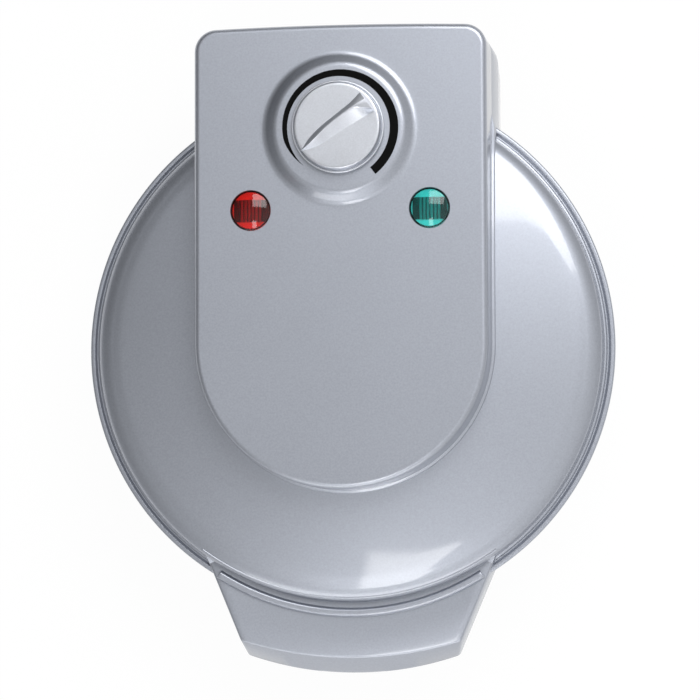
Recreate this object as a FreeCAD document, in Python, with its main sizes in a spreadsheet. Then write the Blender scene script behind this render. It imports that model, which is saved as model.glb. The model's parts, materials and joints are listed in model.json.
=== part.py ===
import FreeCAD, Part
import math
import operator
import os
from collections import namedtuple
from types import SimpleNamespace

import Sketcher

# Electric donut maker: a round base and a hinged lid, each with a baking plate,
# a tubular heater and a reflector, and a thermostat tower on top of the lid.
# The vertical axis runs through the middle of the round lid, z = 0 is the table,
# the handle points to -y and the hinge is at +y.

# Driving sizes in millimetres and degrees.
SIZES = [
    ("foot_height", 4.0, "underside of the base above the table"),
    ("parting_height", 50.3, "middle of the joint between base and lid, and the hinge axis"),
    ("rim_gap", 0.8, "between the base's rim and the lid's rim"),
    ("plate_gap", 0.6, "between the two baking plates"),
    ("flange_radius", 110.0, "outer edge of the lid"),
    ("flange_height", 62.0, "top of the lid's rim above the table"),
    ("flange_ledge", 3.6, "flat ledge on the rim outside the dome"),
    ("flange_round", 1.6, "rounded outer edge of the rim"),
    ("shoulder_setback", 11.0, "where the dome turns down, inside the rim's edge"),
    ("shoulder_rise", 10.5, "shoulder above the rim"),
    ("shoulder_round", 11.0, "radius of the shoulder's curve"),
    ("crown_rise", 18.0, "middle of the dome above the rim"),
    ("shell_wall", 2.5, "wall of the plastic shells"),
    ("recess_radius", 101.5, "seat of a baking plate in its shell"),
    ("ledge_radius", 95.0, "inner edge of the ledge that carries a plate"),
    ("ledge_thickness", 2.5, "thickness of that ledge"),
    ("tower_half_width", 59.8, "tongue-shaped tower, at its top"),
    ("tower_overhang", 20.4, "middle of the tower's back wall behind the base's rim"),
    ("tower_bow", 400.0, "radius of the bowed back wall"),
    ("tower_corner", 9.0, "radius of the back corners"),
    ("tower_top", 96.0, "top of the tower above the table"),
    ("tower_wall", 2.2, "wall of the tower cover"),
    ("tower_edge_round", 2.4, "rounded top edge of the tower"),
    ("tower_draft", 1.5, "slope of the tower's wall"),
    ("bead_step", 1.2, "ledge round the foot of the tower"),
    ("bead_rise", 1.2, "height of that ledge above the dome"),
    ("seat_gap", 0.05, "joint between pieces that sit on each other"),
    ("boss_place", 87.0, "knob axis behind the lid's axis"),
    ("boss_foot_radius", 32.0, "raised boss round the knob, at its foot"),
    ("boss_top_radius", 26.4, "flat top of that boss"),
    ("boss_rise", 3.4, "boss above the tower's top"),
    ("lens_radius", 8.0, "indicator lens"),
    ("lens_spread", 36.5, "lens axis beside the middle plane"),
    ("lens_place", 54.2, "lens axis behind the lid's axis"),
    ("lens_crown", 1.9, "domed lens above the tower's top"),
    ("lens_depth", 5.0, "lens skirt below the tower's top"),
    ("lens_wall", 1.2, "wall of a lens"),
    ("holder_wall", 1.4, "wall of a lamp holder"),
    ("holder_depth", 14.0, "lamp holder below the tower's top"),
    ("neon_radius", 3.0, "glass of a neon lamp"),
    ("neon_length", 7.5, "length of a neon lamp"),
    ("knob_radius", 18.8, "skirt of the knob"),
    ("knob_face_radius", 17.8, "top face of the knob"),
    ("knob_skirt", 2.0, "height of the knob's skirt"),
    ("knob_rise", 5.0, "top face above the knob's foot"),
    ("knob_blade", 4.6, "pointer blade above the knob's face"),
    ("knob_gap", 0.6, "below the knob"),
    ("knob_pointer", 216.0, "direction of the blade's tip at rest"),
    ("blade_reach", 17.3, "blade's tip from the knob axis"),
    ("blade_end", 15.2, "blade's flared end from the knob axis"),
    ("blade_waist", 5.2, "width of the blade in its middle"),
    ("blade_flare", 8.6, "width of the blade's flared end"),
    ("blade_crest", 1.6, "width of the blade's crest"),
    ("shaft_radius", 3.0, "thermostat shaft"),
    ("shaft_clearance", 0.05, "running gap round the shaft"),
    ("bush_radius", 5.0, "threaded bush of the thermostat"),
    ("bush_proud", 2.6, "bush above the boss"),
    ("nut_radius", 7.5, "nut on the bush"),
    ("nut_height", 2.0, "height of that nut"),
    ("thermostat_width", 24.0, "thermostat body"),
    ("thermostat_length", 18.0, "thermostat body, front to back"),
    ("thermostat_height", 9.0, "thermostat body"),
    ("bracket_thickness", 1.0, "steel bracket of the thermostat"),
    ("bracket_reach", 21.0, "bracket's screw beside the knob axis"),
    ("handle_front", 135.0, "handle's front edge from the lid's axis"),
    ("handle_root_half", 62.0, "half width of the handle at its root"),
    ("handle_root_place", 84.0, "handle's root in front of the axis"),
    ("handle_tip_half", 44.0, "half width of the handle at its front"),
    ("handle_rise", 2.5, "handle's top above the rim"),
    ("handle_bevel", 7.0, "sloped front face of the handle"),
    ("handle_pocket_half", 36.0, "hollow in the lid's handle, half width"),
    ("handle_pocket_start", 113.0, "hollow's near side from the lid's axis"),
    ("handle_pocket_depth", 9.0, "hollow, front to back"),
    ("handle_cover_thickness", 2.0, "cover of that hollow"),
    ("handle_boss_radius", 3.4, "screw post in the handle"),
    ("handle_screw_spread", 28.0, "screw post beside the middle plane"),
    ("rib_radius", 108.2, "arc rib on the handle, near side"),
    ("rib_width", 4.0, "width of the rib's foot"),
    ("rib_crest", 1.8, "width of the rib's crest"),
    ("rib_rise", 2.0, "rib above the handle"),
    ("rib_angle", 62.0, "length of the rib round the axis"),
    ("base_rim_radius", 109.0, "outer edge of the base"),
    ("base_band", 10.0, "upright band below the base's rim"),
    ("base_foot_radius", 97.0, "base where its underside starts to round"),
    ("base_foot_round", 4.0, "rounded lower edge of the base"),
    ("base_handle_drop", 12.0, "thickness of the base's handle"),
    ("base_handle_bevel", 4.0, "sloped lower edge of the base's handle"),
    ("base_handle_setback", 2.0, "base's handle behind the lid's handle"),
    ("cover_radius", 90.7, "bottom cover"),
    ("cover_thickness", 2.0, "bottom cover"),
    ("cover_gap", 0.3, "round the bottom cover"),
    ("cover_lip", 3.0, "lip above the bottom cover"),
    ("foot_radius", 9.0, "rubber foot"),
    ("foot_place", 70.0, "foot axis from the lid's axis"),
    ("foot_neck_radius", 3.0, "neck of a foot in the bottom cover"),
    ("foot_neck_head", 3.8, "head of a foot's neck"),
    ("foot_head_height", 1.6, "height of that head"),
    ("vent_width", 4.0, "slot in the bottom cover"),
    ("vent_length", 34.0, "slot in the bottom cover"),
    ("vent_pitch", 11.0, "from slot to slot"),
    ("plate_edge_gap", 0.5, "round a baking plate"),
    ("plate_thickness", 3.0, "web of a baking plate"),
    ("cavity_circle", 59.0, "donut axis from the lid's axis"),
    ("cavity_ring", 22.0, "middle of a donut's ring"),
    ("cavity_half_width", 11.0, "half width of a donut's ring"),
    ("cavity_depth", 9.5, "depth of a donut's half mould"),
    ("cavity_wall", 2.0, "wall behind a donut's half mould"),
    ("heater_tube", 3.25, "radius of the heater tube"),
    ("heater_gap_angle", 24.0, "opening of the heater ring at the back"),
    ("heater_tail", 12.0, "straight end of the heater tube"),
    ("heater_pin_radius", 1.6, "cold pin of the heater"),
    ("heater_pin_length", 7.0, "cold pin of the heater"),
    ("clip_length", 10.0, "heater clip along the tube"),
    ("clip_width", 9.0, "heater clip across the tube"),
    ("clip_floor", 1.5, "heater clip below the tube"),
    ("reflector_radius", 86.0, "reflector pan"),
    ("reflector_rim", 6.0, "turned-up rim of the reflector"),
    ("sheet_thickness", 0.8, "sheet metal of the reflector"),
    ("reflector_room", 0.3, "free space round the reflector inside the lid"),
    ("post_circle", 80.0, "plate screw from the lid's axis"),
    ("post_radius", 4.6, "screw post"),
    ("screw_radius", 1.9, "plate screw"),
    ("screw_head_radius", 3.7, "plate screw's head"),
    ("screw_head_height", 2.0, "plate screw's head"),
    ("screw_bite", 3.2, "plate screw in its post"),
    ("hole_clearance", 0.05, "round a screw, pin or neck"),
    ("small_screw_radius", 1.4, "small cover screw"),
    ("small_head_radius", 2.8, "head of a small cover screw"),
    ("small_head_height", 1.6, "head of a small cover screw"),
    ("small_screw_bite", 6.0, "small cover screw in its post"),
    ("tower_post_radius", 3.6, "screw post in the tower"),
    ("tower_post_spread", 50.0, "tower screw beside the middle plane"),
    ("tower_post_front", -18.0, "front tower screw behind the lid's axis"),
    ("tower_post_back", 78.0, "back tower screw behind the lid's axis"),
    ("knuckle_radius", 4.4, "hinge knuckle"),
    ("knuckle_width", 8.0, "hinge knuckle"),
    ("knuckle_spread", 44.0, "base knuckle beside the middle plane"),
    ("knuckle_gap", 0.4, "between hinge knuckles"),
    ("hinge_overhang", 1.2, "hinge axis behind the tower's back wall"),
    ("hood_depth", 16.9, "hollow behind the lid's rim, in front of the tower's back wall"),
    ("hinge_relief", 0.6, "room round a knuckle in the other shell"),
    ("hinge_pin_radius", 1.75, "hinge pin"),
    ("hinge_clearance", 0.05, "running gap round the hinge pin"),
    ("hinge_web", 8.0, "knuckle's web into its shell"),
    ("gland_radius", 6.5, "cord gland in the base's back wall"),
    ("gland_flange_radius", 8.5, "flange of the cord gland"),
    ("gland_flange", 2.5, "thickness of that flange"),
    ("gland_length", 9.0, "gland inside the wall"),
    ("gland_bore", 3.6, "radius of the cord's hole"),
    ("gland_height", 20.0, "gland axis above the table"),
    ("terminal_width", 30.0, "terminal block"),
    ("terminal_depth", 9.0, "terminal block"),
    ("terminal_height", 10.0, "terminal block"),
    ("terminal_spread", 26.0, "terminal block beside the middle plane"),
    ("wire_radius", 1.5, "wire bundle"),
    ("wire_bore", 2.6, "hole for the wire bundle in the middle knuckle"),
    ("wire_bend", 6.0, "bend of the wire bundle"),
    ("wire_side", 20.0, "wire bundle beside the middle plane"),
    ("base_notch_depth", 12.5, "notch for the wire bundle in the base's back wall"),
    ("lid_notch_depth", 7.5, "notch for the wire bundle in the lid's back wall"),
    ("fuse_radius", 2.4, "thermal fuse"),
    ("fuse_length", 16.0, "thermal fuse"),
    ("clip_ring_wall", 0.8, "spring clip on the shaft"),
    ("clip_ring_height", 2.4, "spring clip on the shaft"),
    ("shaft_grip", 0.02, "joint between shaft, clip and knob"),
]

CAVITY_COUNT = 5
FIRST_CAVITY_ANGLE = -90.0
FEET_ANGLES = (45.0, 135.0, 225.0, 315.0)
CLIP_ANGLES = (-54.0, 18.0, 162.0, 234.0)
VENT_COUNT = 5
BELOW = -1
ABOVE = 1

OPERATIONS = {"+": operator.add, "-": operator.sub, "*": operator.mul, "/": operator.truediv}
UPRIGHT = FreeCAD.Rotation()
ALONG_X = FreeCAD.Rotation(FreeCAD.Vector(0, 1, 0), 90)
ALONG_Y = FreeCAD.Rotation(FreeCAD.Vector(1, 0, 0), -90)

Arc = namedtuple("Arc", "turn centre radius", defaults=(None, None))
COUNTER = 1
CLOCKWISE = -1


class Size:
    """A length or angle with the sheet formula that gives it."""

    def __init__(self, value, formula):
        self.value = value
        self.formula = formula

    def __add__(self, other):
        return combine(self, "+", other)

    def __radd__(self, other):
        return combine(other, "+", self)

    def __sub__(self, other):
        return combine(self, "-", other)

    def __rsub__(self, other):
        return combine(other, "-", self)

    def __mul__(self, other):
        return combine(self, "*", other)

    def __rmul__(self, other):
        return combine(other, "*", self)

    def __truediv__(self, other):
        return combine(self, "/", other)

    def __neg__(self):
        return combine(0, "-", self)


def as_size(number):
    if isinstance(number, Size):
        return number
    return Size(float(number), f"({float(number)!r})")


def combine(first, sign, second):
    first = as_size(first)
    second = as_size(second)
    value = OPERATIONS[sign](first.value, second.value)
    return Size(value, f"({first.formula} {sign} {second.formula})")


def root(size):
    return Size(math.sqrt(size.value), f"sqrt({size.formula})")


def cosine(angle):
    angle = as_size(angle)
    return Size(math.cos(math.radians(angle.value)), f"cos({angle.formula})")


def sine(angle):
    angle = as_size(angle)
    return Size(math.sin(math.radians(angle.value)), f"sin({angle.formula})")


def tangent(angle):
    return sine(angle) / cosine(angle)


def cap_radius(half_width, rise):
    """Radius of the arc over a chord, from half the chord and the arc's rise."""
    return (half_width * half_width + rise * rise) / (2 * rise)


def polar(radius, angle):
    return radius * cosine(angle), radius * sine(angle)


def vector(point):
    return FreeCAD.Vector(*[as_size(number).value for number in point])


doc = FreeCAD.newDocument("donut_maker")
sheet = doc.addObject("Spreadsheet::Sheet", "Sizes")
for row, (alias, number, meaning) in enumerate(SIZES, 1):
    sheet.set(f"A{row}", str(number))
    sheet.setAlias(f"A{row}", alias)
    sheet.set(f"B{row}", meaning)
doc.recompute()
size = SimpleNamespace(**{alias: Size(number, f"Sizes.{alias}") for alias, number, _ in SIZES})

nodes = []


def node(item, label):
    """Give a finished sub-part its name."""
    item.Label = label
    nodes.append(item)
    return item


def bind(item, name, number):
    item.setExpression(name, as_size(number).formula)


def place(item, point, turn=UPRIGHT):
    item.Placement = FreeCAD.Placement(vector(point), turn)
    for axis, number in zip("xyz", point):
        bind(item, f"Placement.Base.{axis}", number)
    return item


def solid(kind, name, point, turn=UPRIGHT, **lengths):
    item = doc.addObject(f"Part::{kind}", name)
    for name_of_length, number in lengths.items():
        bind(item, name_of_length, number)
    return place(item, point, turn)


def cylinder(name, radius, length, point, turn=UPRIGHT):
    return solid("Cylinder", name, point, turn, Radius=radius, Height=length)


def cone(name, low_radius, high_radius, length, point):
    return solid("Cone", name, point, Radius1=low_radius, Radius2=high_radius, Height=length)


def box(name, lengths, point):
    return solid("Box", name, point, Length=lengths[0], Width=lengths[1], Height=lengths[2])


def torus(name, ring, tube, point, sweep=360, turn=UPRIGHT):
    return solid("Torus", name, point, turn, Radius1=ring, Radius2=tube, Angle3=sweep)


def fuse(name, items):
    if len(items) == 1:
        return items[0]
    item = doc.addObject("Part::MultiFuse", name)
    item.Shapes = items
    return item


def group(name, items):
    """Several separate solids that share one node."""
    item = doc.addObject("Part::Compound", name)
    item.Links = items
    return item


def cut(name, base, tools):
    item = doc.addObject("Part::Cut", name)
    item.Base = base
    item.Tool = fuse(f"{name}_tools", tools)
    return item


def common(name, first, second):
    item = doc.addObject("Part::Common", name)
    item.Base = first
    item.Tool = second
    return item


def arc_centre(start, end, arc):
    if arc.centre:
        return vector((*arc.centre, 0))
    chord = end - start
    reach = math.sqrt(as_size(arc.radius).value ** 2 - chord.Length ** 2 / 4)
    left = FreeCAD.Vector(-chord.y, chord.x, 0).normalize()
    return (start + end) / 2 + left * (reach * arc.turn)


def sketch_edge(start, end, arc):
    """The edge's geometry, and which of its ends are its start and its end."""
    if arc is None:
        return Part.LineSegment(start, end), (1, 2)
    centre = arc_centre(start, end, arc)
    first, last = (start, end) if arc.turn == COUNTER else (end, start)
    angles = [math.atan2(point.y - centre.y, point.x - centre.x) for point in (first, last)]
    if angles[1] <= angles[0]:
        angles[1] += 2 * math.pi
    circle = Part.Circle(centre, FreeCAD.Vector(0, 0, 1), (start - centre).Length)
    return Part.ArcOfCircle(circle, *angles), (1, 2) if arc.turn == COUNTER else (2, 1)


def draw(body, name, plane, corners, lift=0):
    """A closed outline whose corners (x, y, arc to the next corner) come from the sheet."""
    sketch = body.newObject("Sketcher::SketchObject", name)
    support = [part for part in body.Origin.OriginFeatures if part.Role == plane][0]
    sketch.AttachmentSupport = (support, "")
    sketch.MapMode = "FlatFace"
    bind(sketch, "AttachmentOffset.Base.z", lift)
    points = [vector((corner[0], corner[1], 0)) for corner in corners]
    arcs = [corner[2] if len(corner) > 2 else None for corner in corners]
    count = len(corners)
    edges = [sketch_edge(points[i], points[(i + 1) % count], arcs[i]) for i in range(count)]
    sketch.addGeometry([edge for edge, _ in edges], False)
    for i in range(count):
        following = (i + 1) % count
        sketch.addConstraint(Sketcher.Constraint(
            "Coincident", i, edges[i][1][1], following, edges[following][1][0]))
    for i, corner in enumerate(corners):
        for kind, number in zip(("DistanceX", "DistanceY"), corner):
            hold(sketch, (kind, i, edges[i][1][0]), number)
    for i, arc in enumerate(arcs):
        if arc is None:
            continue
        if arc.radius is not None:
            hold(sketch, ("Radius", i), arc.radius)
            continue
        chord = points[(i + 1) % count] - points[i]
        across = abs(chord.x) >= abs(chord.y)
        kind = "DistanceY" if across else "DistanceX"
        hold(sketch, (kind, i, 3), arc.centre[1] if across else arc.centre[0])
    return sketch


def hold(sketch, constraint, number):
    number = as_size(number)
    index = sketch.addConstraint(Sketcher.Constraint(*constraint, number.value))
    sketch.setExpression(f"Constraints[{index}]", number.formula)


def new_body(name):
    return doc.addObject("PartDesign::Body", name)


def revolve(name, corners, plane="XZ_Plane", angle=360):
    """A solid of revolution about the upright axis, from an outline (radius, height)."""
    body = new_body(name)
    outline = draw(body, f"{name}_profile", plane, corners)
    turned = body.newObject("PartDesign::Revolution", f"{name}_turned")
    turned.Profile = outline
    turned.ReferenceAxis = (outline, ["V_Axis"])
    bind(turned, "Angle", angle)
    turned.Midplane = True
    return body


def extrude(name, corners, low, high):
    body = new_body(name)
    outline = draw(body, f"{name}_outline", "XY_Plane", corners, low)
    pad = body.newObject("PartDesign::Pad", f"{name}_pad")
    pad.Profile = outline
    bind(pad, "Length", as_size(high) - low)
    return body


def loft(name, low_corners, low, high_corners, high):
    """A straight-sided solid between two level outlines."""
    body = new_body(name)
    foot = draw(body, f"{name}_foot", "XY_Plane", low_corners, low)
    top = draw(body, f"{name}_top", "XY_Plane", high_corners, high)
    between = body.newObject("PartDesign::AdditiveLoft", f"{name}_loft")
    between.Profile = foot
    between.Sections = [top]
    between.Ruled = True
    return body


def soften(body, kind, amount, chosen):
    """Round or bevel the edges that the test picks."""
    doc.recompute()
    shape = body.Tip.Shape
    edges = [f"Edge{i}" for i, edge in enumerate(shape.Edges, 1) if chosen(edge)]
    feature = body.newObject(f"PartDesign::{kind}", f"{body.Name}_{kind.lower()}")
    feature.Base = (body.Tip if body.Tip != feature else feature.BaseFeature, edges)
    bind(feature, "Radius" if kind == "Fillet" else "Size", amount)
    body.Tip = feature


def level_edge(height):
    """A test for edges that lie level at a height."""
    def chosen(edge):
        ends = (edge.BoundBox.ZMin, edge.BoundBox.ZMax)
        return all(abs(end - as_size(height).value) < 1e-4 for end in ends)
    return chosen


# Heights that several pieces share.
lid_foot = size.parting_height + size.rim_gap / 2
base_top = size.parting_height - size.rim_gap / 2
crown_height = size.flange_height + size.crown_rise
shoulder_height = size.flange_height + size.shoulder_rise
shoulder_radius = size.flange_radius - size.shoulder_setback
tower_back = size.base_rim_radius + size.tower_overhang
hinge_place = tower_back + size.hinge_overhang
handle_top = size.flange_height + size.handle_rise
boss_top = size.tower_top + size.boss_rise
knob_foot = boss_top + size.knob_gap
tower_ceiling = size.tower_top - size.tower_wall
crown_drop = crown_height - shoulder_height
crown_radius = cap_radius(shoulder_radius, crown_drop)
bead_height = shoulder_height + size.bead_rise
cover_top = size.foot_height + size.cover_thickness
handle_low = base_top - size.base_handle_drop
base_pocket_depth = size.base_handle_drop - size.shell_wall
lid_pocket_depth = handle_top - size.shell_wall - lid_foot
REACH = size.flange_radius * 2

# Depths below or above the parting plane, the same for both plates.
plate_face = size.plate_gap / 2
plate_back = plate_face + size.plate_thickness
bowl_bottom = plate_face + size.cavity_depth + size.cavity_wall
heater_depth = bowl_bottom + size.seat_gap + size.heater_tube
reflector_face = heater_depth + size.heater_tube + size.clip_floor
reflector_back = reflector_face + size.sheet_thickness
screw_tip = reflector_back + size.screw_bite
ledge_back = plate_back + size.ledge_thickness
cavity_angles = [FIRST_CAVITY_ANGLE + 360 / CAVITY_COUNT * i for i in range(CAVITY_COUNT)]
post_angles = [angle + 180 / CAVITY_COUNT for angle in cavity_angles]


def height_at(side, depth):
    return size.parting_height + side * as_size(depth)


def column(name, radius, near, far, point, side):
    """An upright cylinder between two depths from the parting plane."""
    low = height_at(side, far if side == BELOW else near)
    return cylinder(name, radius, as_size(far) - near, (*point, low))


def dome_height(radius, inset=0):
    """Height of the dome at a distance from the axis, or of a surface inside it."""
    ball = crown_radius - inset
    return crown_height - crown_radius + root(ball * ball - radius * radius)


def tower_outline(offset):
    """Tongue-shaped outline: half round in front, bowed back wall with round corners."""
    half = size.tower_half_width + offset
    back = tower_back + offset
    bow = size.tower_bow + offset
    corner = size.tower_corner + offset
    inner = bow - corner
    rise = root(inner * inner - (half - corner) * (half - corner))
    side_end = back - bow + rise
    back_x = (half - corner) * bow / inner
    back_y = back - bow + rise * bow / inner
    return [
        (half, as_size(0)),
        (half, side_end, Arc(COUNTER, (half - corner, side_end))),
        (back_x, back_y, Arc(COUNTER, (as_size(0), back - bow))),
        (-back_x, back_y, Arc(COUNTER, (corner - half, side_end))),
        (-half, side_end),
        (-half, as_size(0), Arc(COUNTER, (as_size(0), as_size(0)))),
    ]


def rear_outline(offset, front):
    """The part of the tower's outline behind a line across it."""
    corners = tower_outline(offset)
    return [(corners[0][0], front)] + corners[1:5] + [(corners[5][0], front)]


def handle_outline(front, inset):
    """Tapered tab with a front edge round the lid's axis."""
    tip = size.handle_tip_half - inset
    front_y = -root(front * front - tip * tip)
    base = size.handle_root_half - inset
    return [
        (-base, -size.handle_root_place),
        (-tip, front_y, Arc(COUNTER, (as_size(0), as_size(0)))),
        (tip, front_y),
        (base, -size.handle_root_place),
    ]


draft_run = (size.tower_top - bead_height) * tangent(size.tower_draft)
hood_offset = draft_run + size.bead_step
drill_depth = size.shell_wall * 5


def raised_dome(name, rise):
    """The dome lifted by the bead, level outside the shoulder."""
    return revolve(name, [
        (as_size(0), lid_foot),
        (REACH, lid_foot),
        (REACH, shoulder_height + rise),
        (shoulder_radius, shoulder_height + rise, Arc(COUNTER, radius=crown_radius)),
        (as_size(0), crown_height + rise),
    ])


def hinge_parts(side, positions, name):
    """Knuckles with their webs into the shell."""
    knuckles = []
    web_low = size.parting_height - size.knuckle_radius if side == BELOW else lid_foot
    web_height = size.knuckle_radius - size.rim_gap / 2
    for i, (start, width) in enumerate(positions):
        knuckles.append(cylinder(
            f"{name}_knuckle{i}", size.knuckle_radius, width,
            (start, hinge_place, size.parting_height), ALONG_X))
        knuckles.append(box(
            f"{name}_web{i}", (width, size.hinge_web, web_height),
            (start, hinge_place - size.hinge_web, web_low)))
    return knuckles


base_knuckles = []
lid_knuckles = []
pin_starts = []
pin_length = size.knuckle_width * 3 + size.knuckle_gap * 2
for middle in (-size.knuckle_spread, size.knuckle_spread):
    step = size.knuckle_width + size.knuckle_gap
    base_knuckles.append((middle - size.knuckle_width / 2, size.knuckle_width))
    lid_knuckles.append((middle - size.knuckle_width / 2 - step, size.knuckle_width))
    lid_knuckles.append((middle - size.knuckle_width / 2 + step, size.knuckle_width))
    pin_starts.append(middle - pin_length / 2)
wire_knuckle = (-size.wire_side / 2, size.wire_side)


def hinge_room(name):
    """Round channels along the hinge axis, wide enough for the knuckles and the wires."""
    radius = size.knuckle_radius + size.hinge_relief
    spans = [(start - size.knuckle_gap, pin_length + size.knuckle_gap * 2) for start in pin_starts]
    reach = size.wire_side + size.knuckle_radius
    spans.append((-reach, reach * 2))
    return [
        cylinder(f"{name}_room{i}", radius, length, (start, hinge_place, size.parting_height), ALONG_X)
        for i, (start, length) in enumerate(spans)
    ]


def wire_channel(name, x, start, low, depth):
    """Notch in a back wall for the wire bundle beside the middle knuckle."""
    width = size.wire_radius * 4
    return box(f"{name}_wire_channel", (width, hinge_place - start, depth), (x - width / 2, start, low))


def pin_holes(name, clearance):
    radius = size.hinge_pin_radius + clearance
    return [
        cylinder(f"{name}_pinhole{i}", radius, pin_length + size.knuckle_gap * 2,
                 (start - size.knuckle_gap, hinge_place, size.parting_height), ALONG_X)
        for i, start in enumerate(pin_starts)
    ]


def make_base_shell():
    """Round dish with a plate seat, a box at the back and a handle in front."""
    band_foot = base_top - size.base_band
    foot_edge = size.base_foot_radius - size.base_foot_round
    outside = revolve("base_outside", [
        (as_size(0), size.foot_height),
        (foot_edge, size.foot_height),
        (size.base_foot_radius, size.foot_height + size.base_foot_round),
        (size.base_rim_radius, band_foot),
        (size.base_rim_radius, base_top),
        (as_size(0), base_top),
    ])
    rear = extrude("base_rear", rear_outline(hood_offset, size.cavity_circle), size.foot_height, base_top)
    handle = extrude(
        "base_handle", handle_outline(size.handle_front - size.base_handle_setback, size.shell_wall),
        handle_low, base_top)
    soften(handle, "Chamfer", size.base_handle_bevel, level_edge(handle_low))
    ledge_low = height_at(BELOW, ledge_back)
    seat = height_at(BELOW, plate_back)
    rabbet = size.cover_radius + size.cover_gap
    lip_top = cover_top + size.cover_lip
    inner_rim = size.base_rim_radius - size.shell_wall
    above = base_top + size.rim_gap
    inside = revolve("base_inside", [
        (as_size(0), size.foot_height - size.cover_gap),
        (rabbet, size.foot_height - size.cover_gap),
        (rabbet, cover_top),
        (rabbet - size.cover_lip, cover_top),
        (rabbet - size.cover_lip, lip_top),
        (size.base_foot_radius - size.shell_wall, lip_top),
        (inner_rim, band_foot),
        (inner_rim, ledge_low),
        (size.ledge_radius, ledge_low),
        (size.ledge_radius, seat),
        (size.recess_radius, seat),
        (size.recess_radius, above),
        (as_size(0), above),
    ])
    rear_hollow = extrude(
        "base_rear_hollow",
        rear_outline(hood_offset - size.shell_wall, size.base_rim_radius + size.shell_wall),
        cover_top, base_top - size.shell_wall * 2)
    slot_start = size.ledge_radius - size.shell_wall
    slot = box(
        "base_wire_slot",
        (size.terminal_width, size.base_rim_radius + size.shell_wall * 2 - slot_start, size.gland_height),
        (-size.terminal_width / 2, slot_start, lip_top))
    gland_hole = cylinder(
        "base_gland_hole", size.gland_radius + size.hole_clearance, hinge_place,
        (0, size.base_rim_radius + size.shell_wall, size.gland_height), ALONG_Y)
    pocket = handle_pocket("base", handle_low, base_pocket_depth)
    channel = wire_channel("base", -size.wire_side, terminal_corner()[1],
                           base_top - size.base_notch_depth, size.base_notch_depth)
    hollows = [inside, rear_hollow, slot, gland_hole, pocket, channel] + hinge_room("base")
    shell = cut("base_hollowed", fuse("base_solid", [outside, rear, handle]), hollows)
    knuckles = hinge_parts(BELOW, base_knuckles + [wire_knuckle], "base")
    posts, post_holes = handle_posts("base", handle_low, base_pocket_depth)
    joined = fuse("base_with_knuckles", [shell] + knuckles + posts)
    bore = cylinder(
        "base_wire_bore", size.wire_bore, size.wire_side,
        (-size.wire_side / 2, hinge_place, size.parting_height), ALONG_X)
    holes = pin_holes("base", size.hole_clearance) + [bore] + post_holes
    return node(cut("base_shell_cut", joined, holes), "base_shell")


def make_bottom_cover():
    """Round cover with the posts for the plate screws, foot holes and vent slots."""
    disc = cylinder("cover_disc", size.cover_radius, size.cover_thickness, (0, 0, size.foot_height))
    post_top = height_at(BELOW, reflector_back)
    posts = []
    holes = []
    for i, angle in enumerate(post_angles):
        spot = polar(size.post_circle, angle)
        posts.append(cylinder(f"cover_post{i}", size.post_radius, post_top - size.foot_height,
                              (*spot, size.foot_height)))
        holes.append(column(f"cover_screw_hole{i}", size.screw_radius + size.hole_clearance,
                            plate_back, screw_tip + size.cover_gap, spot, BELOW))
    for i, angle in enumerate(FEET_ANGLES):
        spot = polar(size.foot_place, angle)
        holes.append(cylinder(f"cover_foot_hole{i}", size.foot_neck_radius + size.hole_clearance,
                              size.cover_thickness, (*spot, size.foot_height)))
    for i in range(VENT_COUNT):
        offset = size.vent_pitch * (i - (VENT_COUNT - 1) / 2)
        holes.append(box(f"cover_vent{i}", (size.vent_length, size.vent_width, size.cover_thickness),
                         (-size.vent_length / 2, offset - size.vent_width / 2, size.foot_height)))
    return node(cut("bottom_cover_cut", fuse("cover_solid", [disc] + posts), holes), "bottom_cover")


def make_feet():
    """Rubber feet with a mushroom neck through the bottom cover."""
    feet = []
    for i, angle in enumerate(FEET_ANGLES):
        spot = polar(size.foot_place, angle)
        neck_length = size.cover_thickness + size.seat_gap
        feet.append(fuse(f"foot{i}", [
            cone(f"foot_pad{i}", size.foot_radius - size.foot_neck_radius / 2, size.foot_radius,
                 size.foot_height, (*spot, 0)),
            cylinder(f"foot_neck{i}", size.foot_neck_radius, neck_length, (*spot, size.foot_height)),
            cone(f"foot_head{i}", size.foot_neck_head, size.foot_neck_radius, size.foot_head_height,
                 (*spot, cover_top + size.seat_gap)),
        ]))
    return node(group("feet_group", feet), "rubber_feet")


def make_plate(side, name):
    """Cast plate with ring-shaped half moulds and screw posts on its back."""
    round_radius = cap_radius(size.cavity_half_width, size.cavity_depth)
    lift = plate_face + size.cavity_depth - round_radius
    edge = size.recess_radius - size.plate_edge_gap
    body = [column(f"{name}_disc", edge, plate_face, plate_back, (0, 0), side)]
    holes = [column(f"{name}_trim", REACH, plate_face - round_radius * 2, plate_face, (0, 0), side)]
    for i, angle in enumerate(cavity_angles):
        spot = (*polar(size.cavity_circle, angle), height_at(side, lift))
        body.append(torus(f"{name}_bowl{i}", size.cavity_ring, round_radius + size.cavity_wall, spot))
        holes.append(torus(f"{name}_cavity{i}", size.cavity_ring, round_radius, spot))
    for i, angle in enumerate(post_angles):
        spot = polar(size.post_circle, angle)
        body.append(column(f"{name}_post{i}", size.post_radius, plate_face, reflector_face, spot, side))
        holes.append(column(f"{name}_hole{i}", size.screw_radius + size.hole_clearance,
                            plate_face, reflector_face, spot, side))
        holes.append(countersink(f"{name}_sink{i}", spot, side, size.hole_clearance))
    return node(cut(f"{name}_cut", fuse(f"{name}_solid", body), holes), name)


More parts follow.
